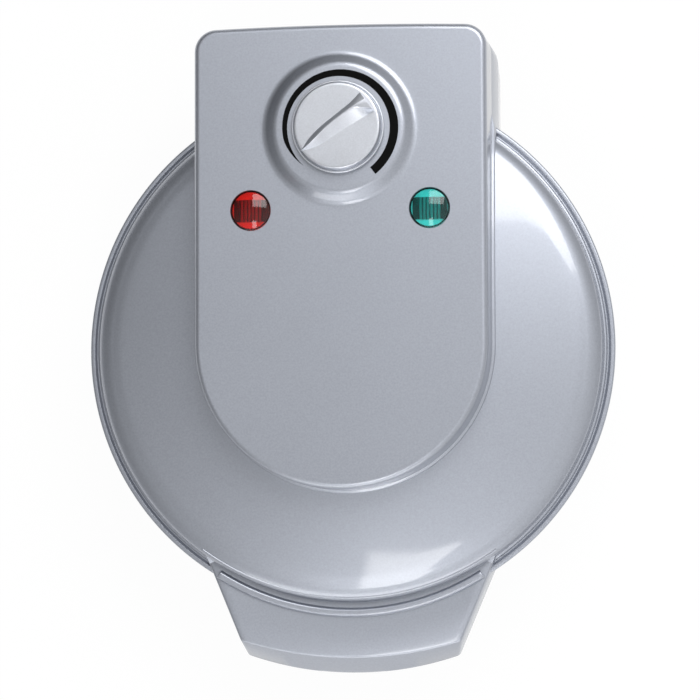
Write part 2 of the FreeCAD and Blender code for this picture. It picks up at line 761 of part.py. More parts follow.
def countersink(name, spot, side, clearance):
    """Cone of a countersunk head, its wide end at the plate's face."""
    wide = size.screw_head_radius + clearance
    narrow = size.screw_radius + clearance
    near = plate_face + size.seat_gap
    if side == BELOW:
        low = height_at(side, near + size.screw_head_height)
        return cone(name, narrow, wide, size.screw_head_height + clearance, (*spot, low))
    low = height_at(side, near - clearance)
    return cone(name, wide, narrow, size.screw_head_height + clearance, (*spot, low))


def make_plate_screws(side, name):
    screws = []
    for i, angle in enumerate(post_angles):
        spot = polar(size.post_circle, angle)
        near = plate_face + size.seat_gap
        screws.append(fuse(f"{name}_screw{i}", [
            column(f"{name}_shank{i}", size.screw_radius, near, screw_tip, spot, side),
            countersink(f"{name}_head{i}", spot, side, as_size(0)),
        ]))
    return node(group(f"{name}_group", screws), name)


def heater_ends():
    """Where the heater ring opens at the back, on its left and right side."""
    return [90 + size.heater_gap_angle / 2, 90 - size.heater_gap_angle / 2]


def make_heater(side, name):
    """Open heater ring whose two ends run out to the back."""
    level = height_at(side, heater_depth)
    start = heater_ends()[0]
    ring = torus(f"{name}_ring", size.cavity_circle, size.heater_tube, (0, 0, level),
                 360 - size.heater_gap_angle)
    bind(ring, "Placement.Rotation.Angle", start)
    pieces = [ring]
    for i, angle in enumerate(heater_ends()):
        spot = polar(size.cavity_circle, angle)
        tail = cylinder(f"{name}_tail{i}", size.heater_tube, size.heater_tail, (*spot, level), ALONG_Y)
        knee = solid("Sphere", f"{name}_knee{i}", (*spot, level), Radius=size.heater_tube)
        pin = cylinder(f"{name}_pin{i}", size.heater_pin_radius, size.heater_pin_length,
                       (spot[0], spot[1] + size.heater_tail, level), ALONG_Y)
        pieces += [tail, knee, pin]
    return node(fuse(f"{name}_joined", pieces), name)


def make_heater_clips(side, name):
    """Saddles on the reflector that hold the heater tube."""
    level = height_at(side, heater_depth)
    groove = torus(f"{name}_groove", size.cavity_circle, size.heater_tube + size.seat_gap, (0, 0, level))
    rise = reflector_face - heater_depth
    clips = []
    for i, angle in enumerate(CLIP_ANGLES):
        low = level if side == ABOVE else level - rise
        clip = box(f"{name}_block{i}", (size.clip_width, size.clip_length, rise), (0, 0, low))
        middle_x, middle_y = polar(size.cavity_circle, angle)
        across = FreeCAD.Rotation(FreeCAD.Vector(0, 0, 1), angle)
        corner_x = middle_x - size.clip_width / 2 * cosine(angle) + size.clip_length / 2 * sine(angle)
        corner_y = middle_y - size.clip_width / 2 * sine(angle) - size.clip_length / 2 * cosine(angle)
        place(clip, (corner_x, corner_y, low), across)
        clips.append(cut(f"{name}_clip{i}", clip, [groove]))
    return node(group(f"{name}_group", clips), name)


def make_reflector(side, name):
    """Sheet-metal pan behind the heater, clamped by the plate screws."""
    disc = column(f"{name}_disc", size.reflector_radius, reflector_face, reflector_back, (0, 0), side)
    rim_near = reflector_face - size.reflector_rim
    rim = column(f"{name}_rim", size.reflector_radius, rim_near, reflector_face, (0, 0), side)
    inside = column(f"{name}_inside", size.reflector_radius - size.sheet_thickness,
                    rim_near, reflector_face, (0, 0), side)
    holes = [inside]
    for i, angle in enumerate(post_angles):
        holes.append(column(f"{name}_hole{i}", size.screw_radius + size.hole_clearance,
                            rim_near, reflector_back, polar(size.post_circle, angle), side))
    width = size.cavity_circle
    low = height_at(side, reflector_face if side == BELOW else rim_near)
    holes.append(box(f"{name}_notch", (width, width, size.reflector_rim),
                     (-width / 2, size.reflector_radius - size.heater_tail, low)))
    return node(cut(f"{name}_cut", fuse(f"{name}_pan", [disc, rim]), holes), name)


def make_lid_shell():
    """Dome with its rim, bead, rear hood, handle and plate seat."""
    ledge_start = size.flange_radius - size.flange_ledge
    rounded = size.flange_radius - size.flange_round
    outside = revolve("lid_outside", [
        (as_size(0), lid_foot),
        (size.flange_radius, lid_foot),
        (size.flange_radius, size.flange_height - size.flange_round,
         Arc(COUNTER, (rounded, size.flange_height - size.flange_round))),
        (rounded, size.flange_height),
        (ledge_start, size.flange_height, Arc(COUNTER, radius=size.shoulder_round)),
        (shoulder_radius, shoulder_height, Arc(COUNTER, radius=crown_radius)),
        (as_size(0), crown_height),
    ])
    prism = extrude("lid_bead_prism", tower_outline(hood_offset), lid_foot, size.tower_top)
    bead = common("lid_bead", prism, raised_dome("lid_raised_dome", size.bead_rise))
    handle = extrude("lid_handle", handle_outline(size.handle_front, as_size(0)), lid_foot, handle_top)
    soften(handle, "Chamfer", size.handle_bevel, front_edge(size.handle_front, handle_top))
    rib = revolve("lid_rib", [
        (-size.rib_radius, size.flange_height),
        (-size.rib_radius, handle_top),
        (-size.rib_radius - (size.rib_width - size.rib_crest) / 2, handle_top + size.rib_rise),
        (-size.rib_radius - (size.rib_width + size.rib_crest) / 2, handle_top + size.rib_rise),
        (-size.rib_radius - size.rib_width, handle_top),
        (-size.rib_radius - size.rib_width, size.flange_height),
    ], "YZ_Plane", size.rib_angle)
    seat = height_at(ABOVE, plate_back)
    ledge_top = height_at(ABOVE, ledge_back)
    inner_flange = size.flange_radius - size.shell_wall
    inner_shoulder = shoulder_radius - size.shell_wall
    below = lid_foot - size.rim_gap
    inside = revolve("lid_inside", [
        (as_size(0), below),
        (size.recess_radius, below),
        (size.recess_radius, seat),
        (size.ledge_radius, seat),
        (size.ledge_radius, ledge_top),
        (inner_flange - size.shell_wall, ledge_top),
        (inner_flange - size.shell_wall, size.flange_height - size.shell_wall),
        (ledge_start - size.shell_wall, size.flange_height - size.shell_wall,
         Arc(COUNTER, radius=size.shoulder_round)),
        (inner_shoulder, dome_height(inner_shoulder, size.shell_wall),
         Arc(COUNTER, radius=crown_radius - size.shell_wall)),
        (as_size(0), crown_height - size.shell_wall),
    ])
    hood_hollow = extrude(
        "lid_hood_hollow",
        rear_outline(hood_offset - size.shell_wall, tower_back - size.hood_depth),
        lid_foot, bead_height - size.shell_wall)
    pass_through = box(
        "lid_wire_slot",
        (size.terminal_width * 2, tower_back - size.hood_depth + size.shell_wall - size.ledge_radius,
         size.flange_height - ledge_top),
        (-size.terminal_width, size.ledge_radius, ledge_top))
    pocket = handle_pocket("lid", lid_foot, lid_pocket_depth)
    channel = wire_channel("lid", size.wire_side, wire_back, lid_foot, size.lid_notch_depth)
    pan_room = column("lid_reflector_room", size.reflector_radius + size.reflector_room,
                      plate_back, reflector_back + size.reflector_room, (0, 0), ABOVE)
    hollows = [inside, pan_room, hood_hollow, pass_through, pocket, channel] + hinge_room("lid")
    shell = cut("lid_hollowed", fuse("lid_solid", [outside, bead, handle, rib]), hollows)
    added = hinge_parts(ABOVE, lid_knuckles, "lid")
    holes = pin_holes("lid", size.hinge_clearance)
    for i, angle in enumerate(post_angles):
        spot = polar(size.post_circle, angle)
        top = dome_height(size.post_circle) - size.shell_wall / 2
        start = height_at(ABOVE, reflector_back)
        added.append(cylinder(f"lid_post{i}", size.post_radius, top - start, (*spot, start)))
        holes.append(column(f"lid_screw_hole{i}", size.screw_radius + size.hole_clearance,
                            reflector_back, screw_tip + size.cover_gap, spot, ABOVE))
    posts, post_holes = handle_posts("lid", lid_foot, lid_pocket_depth)
    added += posts
    holes += post_holes
    for i, (x, y, seat_height) in enumerate(tower_screw_spots()):
        holes.append(cylinder(f"lid_tower_hole{i}", size.small_screw_radius + size.hole_clearance,
                              drill_depth, (x, y, seat_height - drill_depth / 2)))
        holes.append(cylinder(f"lid_spot_face{i}", size.small_head_radius + size.hole_clearance,
                              size.small_head_height, (x, y, screw_head_low(seat_height))))
    holes.append(cylinder("lid_wire_hole", size.wire_radius * 2, drill_depth,
                          (size.wire_side, wire_back, bead_height - drill_depth / 2)))
    return node(cut("lid_shell_cut", fuse("lid_with_posts", [shell] + added), holes), "lid_shell")


def front_edge(radius, height):
    """A test for the level front edge round the lid's axis."""
    def chosen(edge):
        level = level_edge(height)(edge)
        far = all(abs(math.hypot(v.X, v.Y) - as_size(radius).value) < 1e-3 for v in edge.Vertexes)
        return level and far
    return chosen


wire_back = hinge_place - size.wire_bend * 2


def handle_screw_spots():
    middle = -size.handle_pocket_start - size.handle_pocket_depth / 2
    return [(-size.handle_screw_spread, middle), (size.handle_screw_spread, middle)]


def handle_pocket(name, low, depth):
    """Hollow in a handle, open downwards."""
    return box(f"{name}_handle_hollow", (size.handle_pocket_half * 2, size.handle_pocket_depth, depth),
               (-size.handle_pocket_half, -size.handle_pocket_start - size.handle_pocket_depth, low))


def handle_posts(name, low, depth):
    """Screw posts in a handle's hollow, and the holes in them."""
    start = low + size.handle_cover_thickness
    length = depth + size.shell_wall / 2 - size.handle_cover_thickness
    posts = []
    holes = []
    for i, (x, y) in enumerate(handle_screw_spots()):
        posts.append(cylinder(f"{name}_handle_post{i}", size.handle_boss_radius, length, (x, y, start)))
        holes.append(cylinder(f"{name}_handle_hole{i}", size.small_screw_radius + size.hole_clearance,
                              size.small_screw_bite + size.cover_gap, (x, y, start)))
    return posts, holes


def tower_screw_spots():
    """Each tower screw's place and the underside of the dome there."""
    spots = []
    for y in (size.tower_post_front, size.tower_post_back):
        for x in (-size.tower_post_spread, size.tower_post_spread):
            reach = root(x * x + y * y)
            spots.append((x, y, dome_height(reach + size.small_head_radius) - size.shell_wall))
    return spots


def screw_head_low(seat_height):
    """Underside of a tower screw's head below the dome."""
    return seat_height - size.small_head_height - size.seat_gap


def make_tower_cover():
    """Tongue-shaped shell with the raised boss round the knob."""
    outside = loft("tower_outside", tower_outline(draft_run), bead_height,
                   tower_outline(as_size(0)), size.tower_top)
    soften(outside, "Fillet", size.tower_edge_round, level_edge(size.tower_top))
    inset = -size.tower_wall
    below = bead_height - size.seat_gap
    inside = loft("tower_inside", tower_outline(draft_run + inset), below,
                  tower_outline(inset), tower_ceiling)
    boss_spot = (0, size.boss_place)
    boss = cone("tower_boss", size.boss_foot_radius, size.boss_top_radius, size.boss_rise,
                (*boss_spot, size.tower_top))
    boss_hollow = cylinder("tower_boss_hollow", size.boss_top_radius - size.tower_wall,
                           size.boss_rise, (*boss_spot, tower_ceiling))
    bush_hole = cylinder("tower_bush_hole", size.bush_radius + size.hole_clearance,
                         size.tower_top, (*boss_spot, bead_height))
    hollow = cut("tower_hollowed", fuse("tower_solid", [outside, boss]), [inside, boss_hollow, bush_hole])
    posts = []
    holes = [raised_dome("tower_seat", size.bead_rise + size.seat_gap)]
    for i, (x, y, seat_height) in enumerate(tower_screw_spots()):
        posts.append(cylinder(f"tower_post{i}", size.tower_post_radius,
                              tower_ceiling + size.tower_wall / 2 - shoulder_height, (x, y, shoulder_height)))
        holes.append(cylinder(f"tower_screw_hole{i}", size.small_screw_radius + size.hole_clearance,
                              size.small_screw_bite + size.shell_wall * 2, (x, y, seat_height)))
    for i, x in enumerate((-size.lens_spread, size.lens_spread)):
        holes.append(cylinder(f"tower_lens_hole{i}", size.lens_radius + size.hole_clearance,
                              size.tower_wall * 2, (x, size.lens_place, tower_ceiling - size.tower_wall / 2)))
    return node(cut("tower_cover_cut", fuse("tower_with_posts", [hollow] + posts), holes), "tower_cover")


def small_screw(name, spot, head_low):
    """A pan-head screw that is driven upwards."""
    length = size.small_head_height + size.handle_cover_thickness + size.small_screw_bite
    return fuse(name, [
        cylinder(f"{name}_head", size.small_head_radius, size.small_head_height, (*spot, head_low)),
        cylinder(f"{name}_shank", size.small_screw_radius, length, (*spot, head_low)),
    ])


def make_tower_screws():
    screws = []
    for i, (x, y, seat_height) in enumerate(tower_screw_spots()):
        screws.append(small_screw(f"tower_screw{i}", (x, y), screw_head_low(seat_height)))
    return node(group("tower_screw_group", screws), "tower_screws")


def make_handle_cover(name, low):
    """Plate that closes the hollow under a handle, with its screws sunk in."""
    gap = size.cover_gap
    sink = size.handle_cover_thickness / 2
    half = size.handle_pocket_half - gap
    plate = box(
        f"{name}_plate", (half * 2, size.handle_pocket_depth - gap * 2, size.handle_cover_thickness),
        (-half, gap - size.handle_pocket_start - size.handle_pocket_depth, low))
    holes = []
    screws = []
    for i, (x, y) in enumerate(handle_screw_spots()):
        holes.append(cylinder(f"{name}_hole{i}", size.small_screw_radius + size.hole_clearance,
                              size.handle_cover_thickness, (x, y, low)))
        holes.append(cylinder(f"{name}_sink{i}", size.small_head_radius + size.hole_clearance,
                              sink, (x, y, low)))
        screws.append(fuse(f"{name}_screw{i}", [
            cylinder(f"{name}_screw_head{i}", size.small_head_radius, sink, (x, y, low)),
            cylinder(f"{name}_screw_shank{i}", size.small_screw_radius, sink + size.small_screw_bite,
                     (x, y, low + sink)),
        ]))
    node(cut(f"{name}_cut", plate, holes), name)
    node(group(f"{name}_screw_group", screws), f"{name}_screws")


def make_lamps():
    """Domed lenses, the holders below them and the neon lamps inside."""
    holders = []
    lamps = []
    for x, name in ((-size.lens_spread, "red_lens"), (size.lens_spread, "green_lens")):
        spot = (x, size.lens_place)
        foot = size.tower_top - size.lens_depth
        dome = cap_radius(size.lens_radius, size.lens_crown)
        ball = solid("Sphere", f"{name}_ball", (*spot, size.tower_top + size.lens_crown - dome), Radius=dome)
        stem = cylinder(f"{name}_stem", size.lens_radius, size.lens_depth + size.lens_crown, (*spot, foot))
        hollow = cylinder(f"{name}_hollow", size.lens_radius - size.lens_wall, size.lens_depth, (*spot, foot))
        node(cut(f"{name}_cut", common(f"{name}_cap", stem, ball), [hollow]), name)
        low = size.tower_top - size.holder_depth
        top = tower_ceiling - size.seat_gap
        inner = size.lens_radius + size.hole_clearance
        cup = cylinder(f"{name}_cup", inner + size.holder_wall, top - low, (*spot, low))
        room = cylinder(f"{name}_room", inner, top - foot + size.seat_gap, (*spot, foot - size.seat_gap))
        well = cylinder(f"{name}_well", size.neon_radius + size.hole_clearance, top - low,
                        (*spot, low + size.holder_wall))
        holders.append(cut(f"{name}_holder", cup, [room, well]))
        lamps.append(cylinder(f"{name}_neon", size.neon_radius, size.neon_length,
                              (*spot, low + size.holder_wall)))
    node(group("holder_group", holders), "lamp_holders")
    node(group("neon_group", lamps), "neon_lamps")


def make_thermostat():
    """Thermostat under the boss: bracket, body, bush and nut."""
    spot = (0, size.boss_place)
    body_top = tower_ceiling - size.bracket_thickness - size.seat_gap
    body_low = body_top - size.thermostat_height
    front = size.boss_place - size.thermostat_length / 2
    body = box("thermostat_block", (size.thermostat_width, size.thermostat_length, size.thermostat_height),
               (-size.thermostat_width / 2, front, body_low))
    socket = cylinder("thermostat_socket", size.shaft_radius + size.shaft_clearance,
                      size.thermostat_height / 2, (*spot, body_top - size.thermostat_height / 2))
    node(cut("thermostat_cut", body, [socket]), "thermostat_body")
    strap_width = size.bracket_reach * 2 + size.clip_width
    strap = box("bracket_strap", (strap_width, size.thermostat_length, size.bracket_thickness),
                (-strap_width / 2, front, body_top))
    strap_hole = cylinder("bracket_hole", size.bush_radius + size.hole_clearance, size.bracket_thickness,
                          (*spot, body_top))
    node(cut("bracket_cut", strap, [strap_hole]), "thermostat_bracket")
    bush = cylinder("bush_tube", size.bush_radius, boss_top + size.bush_proud - body_top, (*spot, body_top))
    bush_bore = cylinder("bush_bore", size.shaft_radius + size.shaft_clearance,
                         boss_top + size.bush_proud - body_top, (*spot, body_top))
    node(cut("bush_cut", bush, [bush_bore]), "thermostat_bush")
    nut = solid("Prism", "nut_prism", (*spot, boss_top), Polygon=6, Circumradius=size.nut_radius,
                Height=size.nut_height)
    nut_hole = cylinder("nut_hole", size.bush_radius + size.hole_clearance, size.nut_height,
                        (*spot, boss_top))
    node(cut("nut_cut", nut, [nut_hole]), "thermostat_nut")


def blade_outline(widen, shorten):
    """Leaf-shaped pointer blade, from its tip round its flared end."""
    axis = size.knob_pointer - 180

    def turned(along, across):
        return (along * cosine(axis) - across * sine(axis),
                size.boss_place + along * sine(axis) + across * cosine(axis))

    reach = size.blade_reach - shorten
    end = size.blade_end - shorten
    waist = size.blade_waist * widen
    flare = size.blade_flare * widen
    return [
        turned(-reach, as_size(0)),
        turned(as_size(0), -waist / 2),
        turned(end / 2, -waist / 2),
        turned(end, -flare / 2),
        turned(end, flare / 2),
        turned(end / 2, waist / 3),
        turned(as_size(0), waist / 3),
    ]


def make_knob():
    """Knob with its pointer blade, the thermostat's shaft and the spring clip between them."""
    spot = (0, size.boss_place)
    face = knob_foot + size.knob_rise
    skirt = cylinder("knob_skirt_disc", size.knob_radius, size.knob_skirt, (*spot, knob_foot))
    top = cone("knob_top", size.knob_radius, size.knob_face_radius, size.knob_rise - size.knob_skirt,
               (*spot, knob_foot + size.knob_skirt))
    blade = loft("knob_blade_loft", blade_outline(as_size(1), as_size(0)), face,
                 blade_outline(size.blade_crest / size.blade_waist, size.blade_crest), face + size.knob_blade)
    bush_top = boss_top + size.bush_proud
    hollow = cylinder("knob_hollow", size.nut_radius + size.knob_gap,
                      bush_top + size.knob_gap - knob_foot, (*spot, knob_foot))
    clip_low = bush_top + size.knob_gap
    clip_outer = size.shaft_radius + size.shaft_grip + size.clip_ring_wall
    shaft_top = clip_low + size.clip_ring_height
    shaft_hole = cylinder("knob_shaft_hole", clip_outer + size.shaft_grip, size.clip_ring_height,
                          (*spot, clip_low))
    node(cut("knob_cut", fuse("knob_solid", [skirt, top, blade]), [hollow, shaft_hole]), "knob")
    ring = cylinder("clip_ring", clip_outer, size.clip_ring_height, (*spot, clip_low))
    ring_hole = cylinder("clip_ring_hole", size.shaft_radius + size.shaft_grip, size.clip_ring_height,
                         (*spot, clip_low))
    node(cut("clip_ring_cut", ring, [ring_hole]), "knob_clip")
    shaft_low = tower_ceiling - size.bracket_thickness - size.thermostat_height / 2
    shaft = cylinder("shaft_rod", size.shaft_radius, shaft_top - shaft_low, (*spot, shaft_low))
    node(shaft, "thermostat_shaft")


def make_hinge_pins():
    pins = [
        cylinder(f"hinge_pin{i}", size.hinge_pin_radius, pin_length,
                 (start, hinge_place, size.parting_height), ALONG_X)
        for i, start in enumerate(pin_starts)
    ]
    return node(group("hinge_pin_group", pins), "hinge_pins")


def make_cord_gland():
    """Flanged bush in the back wall, where the mains lead goes in."""
    wall = tower_back + hood_offset
    centre = (0, wall + size.seat_gap, size.gland_height)
    inside = wall - size.gland_length
    flange = cylinder("gland_flange_disc", size.gland_flange_radius, size.gland_flange, centre, ALONG_Y)
    stem = cylinder("gland_stem", size.gland_radius, wall + size.gland_flange - inside,
                    (0, inside, size.gland_height), ALONG_Y)
    bore = cylinder("gland_bore_hole", size.gland_bore, wall + size.gland_flange * 2 - inside,
                    (0, inside, size.gland_height), ALONG_Y)
    return node(cut("gland_cut", fuse("gland_solid", [flange, stem]), [bore]), "cord_gland")


def terminal_corner():
    front = size.base_rim_radius + size.shell_wall
    return (-size.terminal_spread - size.terminal_width / 2, front, cover_top)


def make_terminal_block():
    lengths = (size.terminal_width, size.terminal_depth, size.terminal_height)
    return node(box("terminal_box", lengths, terminal_corner()), "terminal_block")


def make_thermal_fuse():
    """Thermal fuse that lies on the thermostat's bracket beside the body."""
    level = tower_ceiling - size.bracket_thickness - size.seat_gap - size.fuse_radius
    start = size.boss_place - size.fuse_length / 2
    rod = cylinder("fuse_rod", size.fuse_radius, size.fuse_length,
                   (size.bracket_reach, start, level), ALONG_Y)
    return node(rod, "thermal_fuse")


def wire(label, points):
    """A wire bundle along straight runs with rounded corners."""
    points = [vector(point) for point in points]
    bend = size.wire_bend.value
    edges = []
    start = points[0]
    for i in range(1, len(points) - 1):
        before = (points[i - 1] - points[i]).normalize()
        after = (points[i + 1] - points[i]).normalize()
        half_turn = (math.pi - before.getAngle(after)) / 2
        reach = bend * math.tan(half_turn)
        first = points[i] + before * reach
        last = points[i] + after * reach
        inward = (before + after).normalize()
        middle = points[i] + inward * (bend / math.cos(half_turn) - bend)
        edges.append(Part.LineSegment(start, first).toShape())
        edges.append(Part.Arc(first, middle, last).toShape())
        start = last
    edges.append(Part.LineSegment(start, points[-1]).toShape())
    path = Part.Wire(edges)
    direction = points[1] - points[0]
    ring = Part.Wire([Part.makeCircle(size.wire_radius.value, points[0], direction)])
    item = doc.addObject("Part::Feature", label)
    item.Shape = path.makePipeShell([ring], True, False)
    return node(item, label)


def make_wires():
    """Wires from the terminal block through the middle knuckle to the thermostat."""
    axis = (hinge_place, size.parting_height)
    inner = size.wire_radius
    block = terminal_corner()
    block_top = cover_top + size.terminal_height + size.seat_gap
    drop_y = block[1] + size.terminal_depth / 2
    fall = size.parting_height - size.wire_bend * 2
    wire("base_wires", [
        (-inner, *axis),
        (-size.wire_side, *axis),
        (-size.wire_side, drop_y, fall),
        (-size.wire_side, drop_y, block_top),
    ])
    climb = size.parting_height + size.wire_bend * 2
    body_top = tower_ceiling - size.bracket_thickness - size.seat_gap
    level = body_top - size.thermostat_height / 2
    body_back = size.boss_place + size.thermostat_length / 2 + size.seat_gap
    entry = size.thermostat_width / 4
    wire("lid_wires", [
        (inner, *axis),
        (size.wire_side, *axis),
        (size.wire_side, wire_back, climb),
        (size.wire_side, wire_back, level),
        (entry, wire_back, level),
        (entry, body_back, level),
    ])


def check_and_write():
    doc.recompute()
    faults = [item.Label for item in doc.Objects if "Invalid" in item.State or "Error" in item.State]
    for item in nodes:
        if item.Shape.isNull() or not item.Shape.isValid() or not item.Shape.Solids:
            faults.append(item.Label)
    if faults:
        raise RuntimeError(f"these objects failed: {faults}")
    os.makedirs("parts", exist_ok=True)
    for item in nodes:
        item.Shape.exportStep(os.path.join("parts", f"{item.Label}.step"))


make_base_shell()
make_bottom_cover()
make_feet()
for side, prefix in ((BELOW, "lower"), (ABOVE, "upper")):
    make_plate(side, f"{prefix}_plate")
    make_plate_screws(side, f"{prefix}_plate_screws")
    make_heater(side, f"{prefix}_heater")
    make_heater_clips(side, f"{prefix}_heater_clips")
    make_reflector(side, f"{prefix}_reflector")
make_lid_shell()
make_tower_cover()
make_tower_screws()
make_handle_cover("lid_handle_cover", lid_foot)
make_handle_cover("base_handle_cover", handle_low)
make_lamps()
make_thermostat()
make_knob()
make_hinge_pins()
make_cord_gland()
make_terminal_block()
make_thermal_fuse()
make_wires()
check_and_write()
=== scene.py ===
import json
import math

import bmesh
import bpy
from mathutils import Matrix, Vector


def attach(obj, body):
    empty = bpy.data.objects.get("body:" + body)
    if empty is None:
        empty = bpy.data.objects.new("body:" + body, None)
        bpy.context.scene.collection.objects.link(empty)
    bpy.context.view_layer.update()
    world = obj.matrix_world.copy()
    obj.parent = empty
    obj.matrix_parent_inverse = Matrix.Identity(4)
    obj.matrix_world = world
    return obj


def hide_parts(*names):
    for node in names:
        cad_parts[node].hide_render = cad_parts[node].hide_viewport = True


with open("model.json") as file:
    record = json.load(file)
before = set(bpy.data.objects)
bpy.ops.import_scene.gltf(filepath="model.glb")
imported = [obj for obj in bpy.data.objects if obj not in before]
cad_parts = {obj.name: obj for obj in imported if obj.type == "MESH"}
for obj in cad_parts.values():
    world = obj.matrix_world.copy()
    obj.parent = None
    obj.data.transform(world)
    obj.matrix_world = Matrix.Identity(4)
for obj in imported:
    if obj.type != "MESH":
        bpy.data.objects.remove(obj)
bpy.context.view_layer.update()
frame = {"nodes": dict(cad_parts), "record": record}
nodes = frame["nodes"]
scene = bpy.context.scene

MM = 0.001
TOUCHING = 1e-6

# The camera: where its lens stood, how it was turned, and its length in the photograph's pixels.
PHOTO_PIXELS = 700
SENSOR_WIDTH = 36.0
FOCAL_PIXELS = 2690
CAMERA_PLACE = (132.65, -69.5, 1171.0)
CAMERA_YAW = 6.822
CAMERA_PITCH = 3.514
CAMERA_ROLL = -0.2

# Heights above the table, in millimetres.
FOOT_HEIGHT = 4.0
COVER_FACE = 6.0
BASE_SLOPE_LOW = 8.0
COVER_TOP = 9.0
GLAND_HEIGHT = 20.0
BOX_MIDDLE = 23.95
BASE_SLOPE_HIGH = 39.9
BASE_SEAT = 47.0
BASE_TOP = 49.9
PARTING = 50.3
LID_FOOT = 50.7
LID_SEAT = 53.6
SKIRT_FOOT = 56.7
EAR_FOOT = 59.2
GROOVE_LOW = 61.2
FLANGE_TOP = 62.0
RIB_KNEE = 64.2
HANDLE_TOP = 64.5
RIB_TOP = 66.5
SHOULDER_TOP = 72.5
CROWN_TOP = 80.0
TOWER_CEILING = 93.8
TOWER_TOP = 96.0
BOSS_TOP = 99.4
KNOB_FOOT = 100.0
KNOB_BRIM = 102.0
HOLLOW_TOP = 102.6
KNOB_TOP = 105.05

# Lid and base: radii from the lid's axis, walls and small steps, in millimetres.
FLANGE_RADIUS = 110.0
FLANGE_DRAFT = 0.8
LIP_START = 108.1
GROOVE = (106.6, 107.2)
LEDGE_START = 106.4
LEDGE_RISE = 0.5
RECESS_RADIUS = 101.5
SHOULDER_RADIUS = 99.0
PLATE_LEDGE = 95.0
LEDGE_THICK = 2.5
CROWN_EDGE = 94
CROWN_STEPS = 22
BASE_RIM = 109.0
BASE_FOOT = 97.0
BASE_SOLE = 93.0
COVER_SEAT = 91.0
COVER_LIP = 88.0
SHELL_WALL = 2.5
INSIDE_ROUND = 0.2
SHELL_SIDES = 256
SMOOTH_ANGLE = 30

# The lid's shoulder: steps that ease the dome into it, its arc and the tight bend at its foot.
EASE_STEPS = 3
EASE_WIDTH = 1.2
EASE_FALL = (0.19, 0.028)
SHOULDER_START = (98.0, 72.3)
SHOULDER_SLOPES = (12, 44)
SHOULDER_BEND = 12.7
BROW_BEND = 1.6
BROW_END = 6
BROW_FOOT = (1.0, 1.0)
BROW_CORNER = (0.95, 0.6)

# Bead round the tower's foot, the hood behind the rim and the box below it.
BEAD_STEP = 1.2
BEAD_RISE = 1.2
BEAD_ROUND = 0.5
HOOD_LIP = 0.05
HOOD_START = 90.0
HOOD_BLEND = 5.0
SKIRT_ROOM = 1.0
SKIRT_SINK = 2.0
BOX_START = 60.0
BOX_SINK = 1.2
BOX_TAPER = 0.042
BOX_EASE = 0.6
GLAND_RADIUS = 6.5
GLAND_REACH = (116.6, 138.6)

# Tongue-shaped tower.
TOWER_HALF = 59.8
TOWER_FRONT = 58.9
TOWER_BACK = 129.8
TOWER_BOW = 1500.0
TOWER_CORNER = 9.0
TOWER_WALL = 2.2
TOWER_EDGE = 2.4
TOWER_MARGIN = 0.8
TOWER_SWELL = 0.05
TOWER_DRAFT = 0.58
TOWER_GAP = 0.05
BOSS_PLACE = 87.0
BOSS_FOOT = 30.6
BOSS_MARGIN = 3
BOSS_PLATEAU = 26.4
BOSS_ROUND = (4.5, 4.0)
SHAFT_HOLE = 5.05
LENS_SPREAD = 36.5
LENS_PLACE = 54.2
LENS_RADIUS = 8.0
LENS_GAP = 0.28
LENS_MARGIN = 1.4
LENS_CHAMFER = 0.08

# Knob, its blade and the printed scale round it, from the knob's axis.
KNOB_RADIUS = 18.8
KNOB_FACE = 17.4
KNOB_MARGIN = 1.2
KNOB_LIP = 0.6
KNOB_GROOVE = (1.0, 0.6)
KNOB_HOLLOW = 8.1
BLADE_AXIS = 36.4
BLADE_STEPS = 44
BLADE_ROOT = -0.6
STEEP_BULGE = (0.35, 0.55)
FACET_SAG = 0.5
CREST_NEAR = ((0.0, 0.2), (0.1, 0.07))
CREST_FAR = ((0.15, 0.25), (0.0, 0.4))
BLADE_STATIONS = (
    # along, upper edge, top of the steep side, end of the crest, lower edge, height
    (-17.4, 0.60, 0.50, 0.40, 0.30, 0.8),
    (-11.5, 2.75, 0.90, 0.10, -1.90, 2.9),
    (-4.5, 3.70, 1.75, 0.80, -2.65, 4.0),
    (4.5, 3.95, 1.90, 0.90, -3.30, 4.45),
    (9.5, 4.15, 1.60, 0.30, -3.85, 4.52),
    (13.0, 4.60, 1.30, -1.60, -4.20, 4.52),
    (15.4, 5.05, 1.20, -4.10, -4.50, 4.45),
)
SCALE_INNER = 20.9
SCALE_START = 226.6
SCALE_END = -52.0
SCALE_STEPS = 120
SCALE_WIDTH = (1.62, 3.5)
SCALE_GROWTH = 2.35
SCALE_POINT = 0.12
SCALE_TIP = 0.02
SCALE_FILM = 0.04

# Indicator lamps.
LENS_CROWN = 1.9
LENS_DEPTH = 5.0
LENS_WALL = 0.5
LENS_EDGE = 0.25
LENS_SHELF = 0.1
LENS_UNDERSIDE = 0.2
GRILLE_RIBS = 6
GRILLE_PITCH = 1.4
GRILLE_LENGTH = 8.4
GRILLE_RADIUS = 7.4
GRILLE_HALF = 6.65
GRILLE_FOOT = 93.3
GRILLE_RISE = 1.5
TRAY_HEIGHTS = (-0.4, 0.3)
FRAME_EASE = 0.15
DISC_THICK = 0.8
DISC_MARGIN = 0.5
RIB_LIFT = 0.6
RIB_SHARE = 0.40
# Emission of the pale insert disc: painted light that stands in for the light let in through the tinted
# lens.
PAINTED_INSERT_GLOW = 0.22

